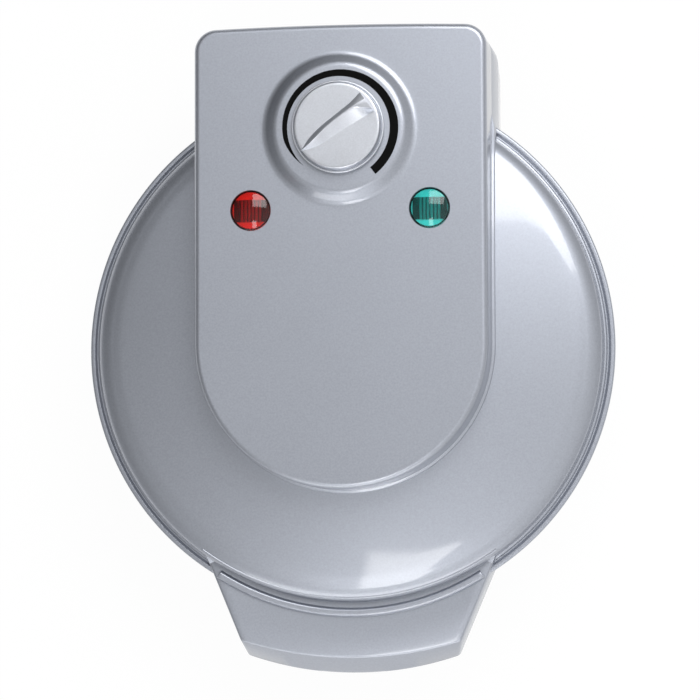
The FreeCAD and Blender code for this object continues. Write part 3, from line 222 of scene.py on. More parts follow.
# Handle, its raised arc, the bead on the shoulder above it and its walls across the rim.
HANDLE_FRONT = 134.95
HANDLE_ROOT = (62.0, 84.0)
HANDLE_ROOT_RADIUS = 104.8
HANDLE_TIP = 44.0
HANDLE_DRAFT = 0.0022
HANDLE_TUCK = 0.9
HANDLE_BEVEL = (7.0, 11.0)
HANDLE_COLUMNS = 28
HANDLE_EASE = 0.9
BASE_HANDLE_FRONT = 133.0
BASE_HANDLE_INSET = 2.5
BASE_HANDLE_LOW = 37.9
BASE_HANDLE_BEVEL = (4.0, 4.0)
NO_BEVEL = (0.0, 0.0)
POCKET_HALF = 36.0
POCKET_START = 113.0
POCKET_DEPTH = 9.0
POCKET_RISE = 3.0
BAR_COLUMNS = 64
RIB_NEAR = 107.5
RIB_WIDTH = 4.1
RIB_CREST = 2.5
RIB_ANGLE = 64.6
RIB_CENTRE = 7.0
RIB_EASE = 0.45
SEAM_RADIUS = 103.3
SEAM_THICK = 0.75
SEAM_ANGLE = 72.0
SEAM_SINK = 0.4
EAR_REACH = (-6.0, 1.4)
EAR_TOP = (64.5, 67.8)
EAR_WALL = 5.0
EAR_EASE = 0.35

# Hinge.
HINGE_PLACE = 130.6
HINGE_AXIS = (HINGE_PLACE, PARTING)
KNUCKLE_RADIUS = 4.39
KNUCKLE_WIDTH = 8.0
KNUCKLE_STEP = 8.4
KNUCKLE_SPREAD = 44.0
MIDDLE_KNUCKLE = 10.0
MIDDLE_ROOM = 24.4
MIDDLE_BORE = 2.6
HINGE_BORE = 1.8
HINGE_END = 53.4
HINGE_ROOM = 5.0
ROOM_EASE = 0.01
WEB_REACH = (8.0, 2.5)
WEB_INSET = 0.2
PIN_INSET = 0.3
PIN_FIT = 0.05
PIN_EASE = 0.3

# Screws: places from the lid's axis, heights of the heads' faces, and sizes.
SCREW_CIRCLE = 80.0
SCREW_ANGLES = (-54, 18, 90, 162, 234)
LOWER_SCREW_FACE = 49.98
UPPER_SCREW_FACE = 50.62
HANDLE_SCREW = 28.0
HANDLE_SCREW_PLACE = 117.5
SCREW_SUNK = 0.02
CROSS_RECESS = {"Recess Width": 0.9, "Recess Depth": 1.1}
PLATE_SCREW = {
    "Seat Radius": 1.9, "Face Radius": 3.65, "Head Height": 2.0, "Shank Radius": 1.88,
    "Shank Length": 22.4, "Recess Length": 4.0, **CROSS_RECESS,
}
PAN_SCREW = {
    "Seat Radius": 2.75, "Face Radius": 2.3, "Head Height": 1.6, "Shank Radius": 1.35,
    "Shank Length": 6.8, "Recess Length": 3.0, **CROSS_RECESS,
}
HEAD_SIDES = 32
ROD_SIDES = 20
SPIN_SEED = 7

# Studio, in metres and watts: the softboxes, and the light of the ceiling and the paper.
SOFTBOXES = (
    # name, place, width and height, power
    ("back_softbox", (0.44, 0.85, 1.3), (1.06, 0.95), 16.2),
    ("front_softbox", (0.02, -0.66, 1.1), (0.24, 0.58), 2.3),
    ("low_softbox", (0.0, -1.3, 0.45), (1.6, 0.4), 5.0),
)
AIM_HEIGHT = 0.07
CEILING_LIGHT = 0.6
CEILING_TILT = (0.6, -0.6)
WALL_SHARE = 0.5
WALL_TOP = 0.65
FLOOR_EDGE = 4
PAPER_GLOW = 0.95
COAT_REFRACTION = 1.6

# Numbers of a Mix node's colour sockets, and how much dust dulls.
MIX_COLORS = (6, 7)
MIX_RESULT = 2
DUST_DULLS = 0.5

HOOD_OFFSET = TOWER_DRAFT + BEAD_STEP
CROWN_DROP = CROWN_TOP - SHOULDER_TOP
CROWN_RADIUS = (SHOULDER_RADIUS ** 2 + CROWN_DROP ** 2) / (2 * CROWN_DROP)
INNER_KNUCKLE = KNUCKLE_SPREAD - KNUCKLE_STEP - KNUCKLE_WIDTH / 2
OUTER_KNUCKLE = KNUCKLE_SPREAD + KNUCKLE_STEP - KNUCKLE_WIDTH / 2


# Points and outlines.
def round_corners(corners, steps=5, closed=True):
    """A line's points with each corner (a, b, radius) rounded off."""
    path = []
    count = len(corners)
    for i, (a, b, radius) in enumerate(corners):
        here = Vector((a, b))
        if radius == 0 or (not closed and i in (0, count - 1)):
            path.append(here)
            continue
        back = Vector(corners[i - 1][:2]) - here
        ahead = Vector(corners[(i + 1) % count][:2]) - here
        half = back.angle(ahead) / 2
        limit = 0.49 * min(back.length, ahead.length)
        reach = min(radius / math.tan(half), limit)
        first = here + back.normalized() * reach
        last = here + ahead.normalized() * reach
        inward = (back.normalized() + ahead.normalized()).normalized()
        centre = here + inward * (reach / math.cos(half))
        turn = (last - centre).angle_signed(first - centre)
        for step in range(steps + 1):
            path.append(centre + Matrix.Rotation(turn * step / steps, 2) @ (first - centre))
    return path


def arc_points(centre, radius, start, end, steps):
    """Points on a circle between two angles in degrees."""
    angles = [math.radians(start + (end - start) * step / steps) for step in range(steps + 1)]
    return [Vector((centre[0] + radius * math.cos(t), centre[1] + radius * math.sin(t))) for t in angles]


def heading(degrees):
    """One step in a direction, counter-clockwise from the right."""
    angle = math.radians(degrees)
    return Vector((math.cos(angle), math.sin(angle)))


def dome_height(radius, inset=0.0):
    ball = CROWN_RADIUS - inset
    return CROWN_TOP - CROWN_RADIUS + math.sqrt(ball ** 2 - radius ** 2)


def bead_height(point):
    """Top of the bead round the tower's foot: it follows the dome and is level past the shoulder."""
    return dome_height(min(point.length, SHOULDER_RADIUS)) + BEAD_RISE


def tongue(offset, side_steps=24, corner_steps=10, back_steps=40, front_steps=72):
    """The tower's outline, counter-clockwise from the front end of its right side."""
    half = TOWER_HALF + offset
    corner_x = TOWER_HALF - TOWER_CORNER
    bow_centre = TOWER_BACK - TOWER_BOW
    rise = math.sqrt((TOWER_BOW - TOWER_CORNER) ** 2 - corner_x ** 2)
    corner_y = bow_centre + rise
    corner = TOWER_CORNER + offset
    lean = math.degrees(math.atan2(rise, corner_x))
    right = [Vector((half, corner_y * step / side_steps)) for step in range(side_steps)]
    left = [Vector((-half, corner_y * (1 - step / side_steps))) for step in range(1, side_steps)]
    outline = right
    outline += arc_points((corner_x, corner_y), corner, 0, lean, corner_steps)[:-1]
    outline += arc_points((0, bow_centre), TOWER_BOW + offset, lean, 180 - lean, back_steps)[:-1]
    outline += arc_points((-corner_x, corner_y), corner, 180 - lean, 180, corner_steps)
    outline += left
    squash = TOWER_FRONT / TOWER_HALF
    front = arc_points((0, 0), half, 180, 360, front_steps)[:-1]
    return outline + [Vector((point.x, point.y * squash)) for point in front]


def hood_outline(offset):
    """The bead's outline: a step round the tower's foot on the dome, flush with the tower behind the rim."""
    outline = []
    for stepped, flush in zip(tongue(offset), tongue(offset - BEAD_STEP + HOOD_LIP)):
        share = min(max((stepped.y - HOOD_START) / HOOD_BLEND, 0), 1)
        outline.append(stepped.lerp(flush, share))
    return outline


def leaning_outline(offset):
    """The hood's lower outline: its sides lean out to the parting, its back stays upright."""
    return [Vector((wide.x, upright.y)) for wide, upright in zip(tongue(offset), hood_outline(offset))]


def circle(spot, radius, steps):
    return arc_points(spot, radius, 0, 360, steps)[:-1]


# Mesh building, in millimetres.
def add_ring(bm, outline, height):
    """A closed row of vertices: height is one number, or a function of the point."""
    lift = height if callable(height) else lambda point: height
    return [bm.verts.new((point.x, point.y, lift(point))) for point in outline]


def bridge(bm, first, second, gap=None):
    """Faces between two closed rows; gap is the number of a side that stays open."""
    count = len(first)
    for i in range(count):
        if i != gap:
            following = (i + 1) % count
            bm.faces.new((first[i], first[following], second[following], second[i]))


def stack(bm, rings, closed=False, gap=None):
    """A skin through rows of vertices."""
    for first, second in zip(rings, rings[1:]):
        bridge(bm, first, second, gap)
    if closed:
        bridge(bm, rings[-1], rings[0])


def solid(bm, rows, gap=None):
    """A skin through rows of vertices with a face over each end."""
    stack(bm, rows, gap=gap)
    bm.faces.new(rows[0])
    bm.faces.new(rows[-1])


def loop_edges(bm, ring):
    pairs = [(ring[i - 1], ring[i]) for i in range(len(ring))]
    return [bm.edges.get(pair) or bm.edges.new(pair) for pair in pairs]


def fill_between(bm, rings, up=1):
    """A level face between an outer row and the rows of its holes."""
    edges = [edge for ring in rings for edge in loop_edges(bm, ring)]
    bmesh.ops.triangle_fill(bm, use_beauty=True, edges=edges, normal=(0, 0, up))


def lathe(bm, profile, spot=(0, 0), segments=192, closed=True):
    """A turned skin from (radius, height) points; a radius of 0 is a pole."""
    rings = []
    for radius, height in profile:
        if radius < TOUCHING:
            rings.append([bm.verts.new((*spot, height))])
        else:
            rings.append(add_ring(bm, circle(spot, radius, segments), height))
    pairs = list(zip(rings, rings[1:]))
    if closed and len(rings[0]) > 1:
        pairs.append((rings[-1], rings[0]))
    for first, second in pairs:
        if len(first) == len(second) > 1:
            bridge(bm, first, second)
        elif len(first) != len(second):
            pole, ring = (first[0], second) if len(first) == 1 else (second[0], first)
            for i in range(len(ring)):
                bm.faces.new((pole, ring[i - 1], ring[i]))
    return rings


def barrel(bm, start, end, radius, bore, axis_point, segments=40, ease=0.5):
    """A hollow or solid bar along X with eased ends."""
    section = [(start, bore, 0), (start, radius, ease), (end, radius, ease), (end, bore, 0)]
    rings = []
    for along, reach in round_corners(section, 3):
        ring = circle(axis_point, reach, segments)
        rings.append([bm.verts.new((along, point.x, point.y)) for point in ring])
    stack(bm, rings, closed=bore > 0)
    if bore == 0:
        bmesh.ops.remove_doubles(bm, verts=rings[0] + rings[-1], dist=TOUCHING)


def block(bm, low, high):
    """An upright box between two corners."""
    made = bmesh.ops.create_cube(bm, size=1)
    lengths = [high[i] - low[i] for i in range(3)]
    middle = [(high[i] + low[i]) / 2 for i in range(3)]
    bmesh.ops.scale(bm, vec=lengths, verts=made["verts"])
    bmesh.ops.translate(bm, vec=middle, verts=made["verts"])


def as_object(bm, name):
    """Turn millimetre geometry into an object in metres, its faces pointing outwards."""
    bmesh.ops.recalc_face_normals(bm, faces=bm.faces)
    bmesh.ops.scale(bm, vec=(MM, MM, MM), verts=bm.verts)
    mesh = bpy.data.meshes.new(name)
    bm.to_mesh(mesh)
    bm.free()
    piece = bpy.data.objects.new(name, mesh)
    scene.collection.objects.link(piece)
    return piece


def settle(piece):
    """Keep what the modifiers make as a plain mesh."""
    graph = bpy.context.evaluated_depsgraph_get()
    finished = bpy.data.meshes.new_from_object(piece.evaluated_get(graph))
    old = piece.data
    piece.modifiers.clear()
    piece.data = finished
    bpy.data.meshes.remove(old)
    finished.name = piece.name


def ease_edges(piece, width, segments=3, angle=32):
    bevel = piece.modifiers.new("eased_edges", "BEVEL")
    bevel.width = width * MM
    bevel.segments = segments
    bevel.limit_method = "ANGLE"
    bevel.angle_limit = math.radians(angle)
    settle(piece)
    return piece


def carve(piece, cutter):
    """Take one object's shape out of another, and the cutter away."""
    boolean = piece.modifiers.new("carved", "BOOLEAN")
    boolean.operation = "DIFFERENCE"
    boolean.solver = "EXACT"
    boolean.object = cutter
    settle(piece)
    bpy.data.objects.remove(cutter)


def join(name, pieces):
    """One object from several closed skins."""
    bm = bmesh.new()
    for piece in pieces:
        bm.from_mesh(piece.data)
    mesh = bpy.data.meshes.new(name)
    bm.to_mesh(mesh)
    bm.free()
    for piece in pieces:
        bpy.data.meshes.remove(piece.data)
    whole = bpy.data.objects.new(name, mesh)
    scene.collection.objects.link(whole)
    return whole


def fit_out(piece, body, material, stands_for=()):
    """Give a finished piece its finish and its body, and hide the nodes that it stands for."""
    mesh = piece.data
    mesh.materials.clear()
    mesh.materials.append(material)
    mesh.shade_smooth()
    mesh.set_sharp_from_angle(angle=math.radians(SMOOTH_ANGLE))
    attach(piece, body)
    if stands_for:
        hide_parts(*stands_for)


# Pieces.
def hinge_cutter():
    """Room for the knuckles, along the hinge axis."""
    bm = bmesh.new()
    side = 1.5 * KNUCKLE_WIDTH + 2 * (KNUCKLE_STEP - KNUCKLE_WIDTH)
    for middle, half in ((-KNUCKLE_SPREAD, side), (0, MIDDLE_ROOM), (KNUCKLE_SPREAD, side)):
        barrel(bm, middle - half, middle + half, HINGE_ROOM, 0, HINGE_AXIS, ease=ROOM_EASE)
    return as_object(bm, "hinge_room")


def knuckles(name, starts, low, high):
    """Hinge barrels, each with a web to the wall in front of it."""
    bm = bmesh.new()
    front, back = (HINGE_PLACE - reach for reach in WEB_REACH)
    for start, width, bore in starts:
        end = start + width
        barrel(bm, start, end, KNUCKLE_RADIUS, bore, HINGE_AXIS)
        block(bm, (start + WEB_INSET, front, low), (end - WEB_INSET, back, high))
    return as_object(bm, name)


def shoulder_centre():
    """Centre of the shoulder's arc in the lid's section."""
    lean = math.radians(SHOULDER_SLOPES[0])
    radius, height = SHOULDER_START
    return radius - SHOULDER_BEND * math.sin(lean), height - SHOULDER_BEND * math.cos(lean)


def dome_profile():
    """Section of the lid: dome, shoulder, rim, plate seat and the inside."""
    radii = [CROWN_EDGE * step / CROWN_STEPS for step in range(CROWN_STEPS + 1)]
    profile = [Vector((radius, dome_height(radius))) for radius in radii]
    for step in range(1, EASE_STEPS + 1):
        height = dome_height(CROWN_EDGE) - EASE_FALL[0] * step - EASE_FALL[1] * step ** 2
        profile.append(Vector((CROWN_EDGE + EASE_WIDTH * step, height)))
    centre = shoulder_centre()
    gentle, steep = SHOULDER_SLOPES
    profile += arc_points(centre, SHOULDER_BEND, 90 - gentle, 90 - steep, 12)
    brow_centre = Vector(centre).lerp(profile[-1], 1 - BROW_BEND / SHOULDER_BEND)
    profile += arc_points(brow_centre, BROW_BEND, 90 - steep, BROW_END, 6)[1:]
    wall = LEDGE_START - SHELL_WALL
    profile += round_corners([
        (LEDGE_START - BROW_FOOT[0], FLANGE_TOP + BROW_FOOT[1], 0),
        (LEDGE_START - BROW_CORNER[0], FLANGE_TOP + BROW_CORNER[1], 0.2),
        (LEDGE_START, FLANGE_TOP + LEDGE_RISE, 0.6),
        (GROOVE[0], GROOVE_LOW, 0.3),
        (GROOVE[1], GROOVE_LOW, 0.3),
        (LIP_START, FLANGE_TOP, 0.5),
        (FLANGE_RADIUS, FLANGE_TOP, 1.2),
        (FLANGE_RADIUS - FLANGE_DRAFT, LID_FOOT, 0.6),
        (RECESS_RADIUS, LID_FOOT, 0.5),
        (RECESS_RADIUS, LID_SEAT, INSIDE_ROUND),
        (PLATE_LEDGE, LID_SEAT, INSIDE_ROUND),
        (PLATE_LEDGE, LID_SEAT + LEDGE_THICK, INSIDE_ROUND),
        (wall, LID_SEAT + LEDGE_THICK, INSIDE_ROUND),
        (wall, FLANGE_TOP - SHELL_WALL, 0),
    ], closed=False)
    inside_radii = (CROWN_EDGE, 80, 60, 40, 20, 0)
    return profile + [Vector((radius, dome_height(radius, SHELL_WALL))) for radius in inside_radii]


def hood_low(point):
    """Lower edge of the skirt below the tower's bead, inside the lid or down the hood behind it."""
    if point.length < PLATE_LEDGE - SKIRT_ROOM:
        return dome_height(point.length) - SKIRT_SINK
    return SKIRT_FOOT if point.length < RECESS_RADIUS + SKIRT_ROOM else LID_FOOT


def chord_to(point, along, radius):
    """How far a line from a point outside runs before it meets a circle round the axis."""
    across = point.dot(along)
    return -across - math.sqrt(across ** 2 - point.length_squared + radius ** 2)


def handle_tab(name, front, inset, low, high, bevel_low, bevel_high):
    """A tapered handle with an arched front edge and a shallow pocket in its underside."""
    bm = bmesh.new()
    tip = math.degrees(math.asin((HANDLE_TIP - inset) / front))
    rows = []
    for step in range(HANDLE_COLUMNS + 1):
        share = 2 * step / HANDLE_COLUMNS - 1
        tip_point = heading(-90 + tip * share) * front
        far_root = Vector(((HANDLE_ROOT[0] - inset) * share, -HANDLE_ROOT[1]))
        along = (far_root - tip_point).normalized()
        root = tip_point + along * chord_to(tip_point, along, HANDLE_ROOT_RADIUS)
        corners = []
        for point, height in (
            (root, high),
            (tip_point + along * bevel_high[0], high),
            (tip_point, high - bevel_high[1]),
            (tip_point, low + bevel_low[1]),
            (tip_point + along * bevel_low[0], low),
            (root, low),
        ):
            spread = 1 + HANDLE_DRAFT * (HANDLE_TOP - height)
            corner = Vector((point.x * spread - share * HANDLE_TUCK, point.y, height))
            if not corners or (corner - corners[-1]).length > TOUCHING:
                corners.append(corner)
        rows.append([bm.verts.new(corner) for corner in corners])
    bottom = len(rows[0]) - 2
    solid(bm, rows, gap=bottom)
    rim = [row[bottom] for row in rows] + [row[bottom + 1] for row in reversed(rows)]
    near, far = -POCKET_START, -POCKET_START - POCKET_DEPTH
    plan = [(-POCKET_HALF, far), (POCKET_HALF, far), (POCKET_HALF, near), (-POCKET_HALF, near)]
    mouth, ceiling = (add_ring(bm, map(Vector, plan), height) for height in (low, low + POCKET_RISE))
    bridge(bm, mouth, ceiling)
    bm.faces.new(ceiling)
    fill_between(bm, [rim, mouth], -1)
    return ease_edges(as_object(bm, name), HANDLE_EASE)


def arc_bar(name, section, angle, centre=0.0):
    """A bar along an arc across the lid's front, from the (radius, height) points of its section."""
    bm = bmesh.new()
    rows = []
    for step in range(BAR_COLUMNS + 1):
        turn = math.radians(-90 + angle * (step / BAR_COLUMNS - 0.5))
        row = []
        for radius, height in section:
            reach = radius - centre
            row.append(bm.verts.new((reach * math.cos(turn), reach * math.sin(turn) - centre, height)))
        rows.append(row)
    solid(bm, rows)
    return as_object(bm, name)


def make_rib():
    """Raised arc on the handle, in front of the lid's rim."""
    lean = (RIB_WIDTH - RIB_CREST) / 2
    section = round_corners([
        (RIB_NEAR, FLANGE_TOP, 0),
        (RIB_NEAR, RIB_KNEE, 0.5),
        (RIB_NEAR + lean, RIB_TOP, 0.9),
        (RIB_NEAR + lean + RIB_CREST, RIB_TOP, 0.9),
        (RIB_NEAR + RIB_WIDTH, RIB_KNEE, 0.5),
        (RIB_NEAR + RIB_WIDTH, FLANGE_TOP, 0),
    ])
    return ease_edges(arc_bar("handle_rib", section, RIB_ANGLE, RIB_CENTRE), RIB_EASE, angle=60)


def make_seam():
    """Thin bead along the lid's shoulder, above the handle."""
    middle, low = shoulder_centre()
    height = low + math.sqrt(SHOULDER_BEND ** 2 - (SEAM_RADIUS - middle) ** 2) - SEAM_SINK
    return arc_bar("handle_seam", circle((SEAM_RADIUS, height), SEAM_THICK, 20), SEAM_ANGLE)


def make_ears():
    """The handle's side walls, carried on across the rim up to the shoulder."""
    bm = bmesh.new()
    root = Vector((HANDLE_ROOT[0] - HANDLE_TUCK, -HANDLE_ROOT[1]))
    tip = Vector((HANDLE_TIP - HANDLE_TUCK, -math.sqrt(HANDLE_FRONT ** 2 - HANDLE_TIP ** 2)))
    along = (root - tip).normalized()
    inward = Vector((-along.y, along.x)) * EAR_WALL
    tops = (*EAR_TOP, *reversed(EAR_TOP))
    for way in (-1, 1):
        plan = [root + along * reach for reach in EAR_REACH]
        plan += [spot + inward for spot in reversed(plan)]
        plan = [Vector((way * spot.x, spot.y)) for spot in plan]
        low = add_ring(bm, plan, EAR_FOOT)
        high = [bm.verts.new((*spot, top)) for spot, top in zip(plan, tops)]
        solid(bm, [low, high])
    return ease_edges(as_object(bm, "handle_ears"), EAR_EASE)


def make_hood():
    """Bead round the tower's foot, with the skirt below it and the hood behind the rim."""
    bm = bmesh.new()
    inner = HOOD_OFFSET - SHELL_WALL
    bevel = 0.3 * BEAD_ROUND
    rings = [add_ring(bm, leaning_outline(HOOD_OFFSET), hood_low)]
    for offset, drop in (
        (HOOD_OFFSET, -BEAD_ROUND),
        (HOOD_OFFSET - bevel, -bevel),
        (HOOD_OFFSET - BEAD_ROUND, 0.0),
        (0.0, 0.0),
        (inner, 0.0),
    ):
        rings.append(add_ring(bm, hood_outline(offset), lambda point: bead_height(point) + drop))
    rings.append(add_ring(bm, leaning_outline(inner), hood_low))
    stack(bm, rings, closed=True)
    hood = as_object(bm, "lid_hood")
    carve(hood, hinge_cutter())
    return hood


def make_lid(material):
    bm = bmesh.new()
    lathe(bm, dome_profile(), segments=SHELL_SIDES)
    dome = as_object(bm, "lid_dome")
    starts = [
        (INNER_KNUCKLE, KNUCKLE_WIDTH, HINGE_BORE),
        (OUTER_KNUCKLE, HINGE_END - OUTER_KNUCKLE, HINGE_BORE),
    ]
    starts += [(-start - width, width, bore) for start, width, bore in starts]
    barrels = knuckles("lid_knuckles", starts, LID_FOOT, PARTING + KNUCKLE_RADIUS)
    handle = handle_tab("lid_handle", HANDLE_FRONT, 0, LID_FOOT, HANDLE_TOP, NO_BEVEL, HANDLE_BEVEL)
    pieces = [dome, make_hood(), barrels, handle, make_rib(), make_seam(), make_ears()]
    fit_out(join("lid_moulding", pieces), "lid", material, ["lid_shell"])


def make_pins(material):
    """Hinge pins, their ends just inside the outer knuckles."""
    bm = bmesh.new()
    start, end = INNER_KNUCKLE + PIN_INSET, HINGE_END - PIN_INSET
    for first, last in ((start, end), (-end, -start)):
        barrel(bm, first, last, HINGE_BORE - PIN_FIT, 0, HINGE_AXIS, ease=PIN_EASE)
    fit_out(as_object(bm, "hinge_pin_rods"), "base", material, ["hinge_pins"])


def tower_seat(point):
    """The tower's lower edge, just above the bead."""
    return bead_height(point) + TOWER_GAP


def make_tower(material):
    """Tower cover with its rounded top edge, the swelling boss and the lens holes."""
    bm = bmesh.new()
    rings = [add_ring(bm, tongue(offset), tower_seat) for offset in (TOWER_DRAFT - TOWER_WALL, TOWER_DRAFT)]
    edge = arc_points((-TOWER_EDGE, TOWER_TOP - TOWER_EDGE), TOWER_EDGE + TOWER_SWELL, 0, 90, 8)
    for offset, height in edge:
        rings.append(add_ring(bm, tongue(offset), min(height, TOWER_TOP)))
    rings.append(add_ring(bm, tongue(-TOWER_EDGE - TOWER_MARGIN), TOWER_TOP))
    stack(bm, rings)
    ceiling = add_ring(bm, tongue(-TOWER_WALL), TOWER_CEILING)
    bridge(bm, ceiling, rings[0])
    boss = lathe(bm, round_corners([
        (BOSS_FOOT + BOSS_MARGIN, TOWER_TOP, 0),
        (BOSS_FOOT, TOWER_TOP, BOSS_ROUND[0]),
        (BOSS_PLATEAU, BOSS_TOP, BOSS_ROUND[1]),
        (SHAFT_HOLE, BOSS_TOP, 0),
        (SHAFT_HOLE, TOWER_CEILING, 0),
    ], 8, closed=False), (0, BOSS_PLACE), 128, closed=False)
    holes = [boss]
    for x in (-LENS_SPREAD, LENS_SPREAD):
        holes.append(lathe(bm, [
            (LENS_RADIUS + LENS_MARGIN, TOWER_TOP),
            (LENS_RADIUS + LENS_GAP + LENS_CHAMFER, TOWER_TOP),
            (LENS_RADIUS + LENS_GAP, TOWER_TOP - LENS_CHAMFER),
            (LENS_RADIUS + LENS_GAP, TOWER_CEILING),
        ], (x, LENS_PLACE), 64, closed=False))
    fill_between(bm, [rings[-1]] + [hole[0] for hole in holes], 1)
    fill_between(bm, [ceiling] + [hole[-1] for hole in holes], -1)
    fit_out(as_object(bm, "tower_moulding"), "lid", material, ["tower_cover"])


def base_outer(height):
    """Radius of the base's outside at a height."""
    share = min(max((height - BASE_SLOPE_LOW) / (BASE_SLOPE_HIGH - BASE_SLOPE_LOW), 0), 1)
    return BASE_FOOT + (BASE_RIM - BASE_FOOT) * share


def base_dish():
    """The base's turned wall, with the seats of the baking plate and of the bottom cover."""
    bm = bmesh.new()
    ledge = BASE_SEAT - LEDGE_THICK
    wall = BASE_RIM - SHELL_WALL
    lathe(bm, round_corners([
        (COVER_SEAT, FOOT_HEIGHT, 0.4),
        (BASE_SOLE, FOOT_HEIGHT, 1.5),
        (BASE_FOOT, BASE_SLOPE_LOW, 5),
        (BASE_RIM, BASE_SLOPE_HIGH, 6),
        (BASE_RIM, BASE_TOP, 0.9),
        (RECESS_RADIUS, BASE_TOP, 0.5),
        (RECESS_RADIUS, BASE_SEAT, INSIDE_ROUND),
        (PLATE_LEDGE, BASE_SEAT, INSIDE_ROUND),
        (PLATE_LEDGE, ledge, INSIDE_ROUND),
        (wall, ledge, INSIDE_ROUND),
        (wall, BASE_SLOPE_HIGH, INSIDE_ROUND),
        (BASE_FOOT - SHELL_WALL, COVER_TOP, INSIDE_ROUND),
        (COVER_LIP, COVER_TOP, INSIDE_ROUND),
        (COVER_LIP, COVER_FACE, INSIDE_ROUND),
        (COVER_SEAT, COVER_FACE, 0),
    ]), segments=SHELL_SIDES)
    return as_object(bm, "base_dish")


def base_box():
    """Box behind the dish, with room for the hinge and a hole for the gland."""
    bm = bmesh.new()
    rows = []
    sides = [point for point in leaning_outline(HOOD_OFFSET) if point.y > BOX_START]
    for height in (FOOT_HEIGHT, BASE_SLOPE_LOW, BOX_MIDDLE, BASE_SLOPE_HIGH, BASE_TOP):
        radius = base_outer(height) - BOX_SINK
        narrow = 1 - BOX_TAPER * (BASE_TOP - height) / TOWER_HALF
        outline = [Vector((point.x * narrow, point.y)) for point in sides]
        reach = math.sqrt(radius ** 2 - outline[0].x ** 2)
        behind = [Vector((point.x, max(point.y, reach))) for point in outline]
        start = math.degrees(math.atan2(reach, outline[0].x))
        front = arc_points((0, 0), radius, 180 - start, start, 24)[1:-1]
        rows.append(add_ring(bm, behind + front, height))
    solid(bm, rows)
    box = as_object(bm, "base_rear_box")
    carve(box, hinge_cutter())
    bm = bmesh.new()
    hole = circle((0, GLAND_HEIGHT), GLAND_RADIUS, 48)
    solid(bm, [[bm.verts.new((point.x, y, point.y)) for point in hole] for y in GLAND_REACH])
    carve(box, as_object(bm, "gland_hole"))
    return ease_edges(box, BOX_EASE)


def make_base(material):
    middles = (-KNUCKLE_SPREAD, KNUCKLE_SPREAD)
    starts = [(middle - KNUCKLE_WIDTH / 2, KNUCKLE_WIDTH, HINGE_BORE) for middle in middles]
    starts.append((-MIDDLE_KNUCKLE, 2 * MIDDLE_KNUCKLE, MIDDLE_BORE))
    barrels = knuckles("base_knuckles", starts, PARTING - KNUCKLE_RADIUS, BASE_TOP)
    handle = handle_tab("base_handle", BASE_HANDLE_FRONT, BASE_HANDLE_INSET, BASE_HANDLE_LOW, BASE_TOP,
                        BASE_HANDLE_BEVEL, NO_BEVEL)
    pieces = [base_dish(), base_box(), barrels, handle]
    fit_out(join("base_moulding", pieces), "base", material, ["base_shell"])


def between(along, column):
    """A blade size at a place along it, on a smooth curve through the stations."""
    stations = BLADE_STATIONS
    last = len(stations) - 2
    i = max(n for n in range(last + 1) if n == 0 or along >= stations[n][0])
    first, second = stations[i], stations[i + 1]
    before, after = stations[max(i - 1, 0)], stations[min(i + 2, last + 1)]
    span = second[0] - first[0]
    share = (along - first[0]) / span
    leave = (second[column] - before[column]) / (second[0] - before[0]) * span
    arrive = (after[column] - first[column]) / (after[0] - first[0]) * span
    bend = share * share * (3 - 2 * share)
    curve = first[column] * (1 - bend) + second[column] * bend
    return curve + share * (1 - share) * ((1 - share) * leave - share * arrive)


def make_blade():
    """Pointer blade: a steep side, a rounded crest that widens to the flared end and a gentle facet."""
    bm = bmesh.new()
    turn = Matrix.Rotation(math.radians(BLADE_AXIS), 2)
    start, end = BLADE_STATIONS[0][0], BLADE_STATIONS[-1][0]
    rows = []
    for step in range(BLADE_STEPS + 1):
        along = start + (end - start) * step / BLADE_STEPS
        upper, flank, crest, lower, height = (between(along, column) for column in range(1, 6))
        steep_side = [
            (upper, BLADE_ROOT),
            (upper, 0.0),
            (upper - STEEP_BULGE[0] * (upper - flank), STEEP_BULGE[1] * height),
        ]
        rounded_crest = [(flank - inset, height - drop) for inset, drop in CREST_NEAR]
        rounded_crest.append(((flank + crest) / 2, height))
        rounded_crest += [(crest + inset, height - drop) for inset, drop in CREST_FAR]
        facet = [
            (crest + 0.5 * (lower - crest), 0.5 * (height - FACET_SAG)),
            (lower, 0.0),
            (lower, BLADE_ROOT),
        ]
        row = []
        for across, lift in steep_side + rounded_crest + facet:
            spot = turn @ Vector((along, across))
            row.append(bm.verts.new((spot.x, BOSS_PLACE + spot.y, KNOB_TOP + lift)))
        rows.append(row)
    solid(bm, rows)
    return as_object(bm, "knob_blade")


def make_knob(material):
    bm = bmesh.new()
    lathe(bm, [Vector((0, KNOB_TOP))] + round_corners([
        (KNOB_FACE - KNOB_MARGIN, KNOB_TOP, 0),
        (KNOB_FACE, KNOB_TOP, 0.5),
        (KNOB_RADIUS - KNOB_GROOVE[0], KNOB_BRIM - KNOB_GROOVE[1], 0.1),
        (KNOB_RADIUS - KNOB_LIP, KNOB_BRIM, 0.2),
        (KNOB_RADIUS, KNOB_BRIM, 0.35),
        (KNOB_RADIUS, KNOB_FOOT, 0.3),
        (KNOB_HOLLOW, KNOB_FOOT, INSIDE_ROUND),
        (KNOB_HOLLOW, HOLLOW_TOP, INSIDE_ROUND),
        (0.0, HOLLOW_TOP, 0),
    ], 4, closed=False), (0, BOSS_PLACE), 144)
    whole = join("knob_moulding", [as_object(bm, "knob_disc"), make_blade()])
    fit_out(whole, "knob", material, ["knob"])


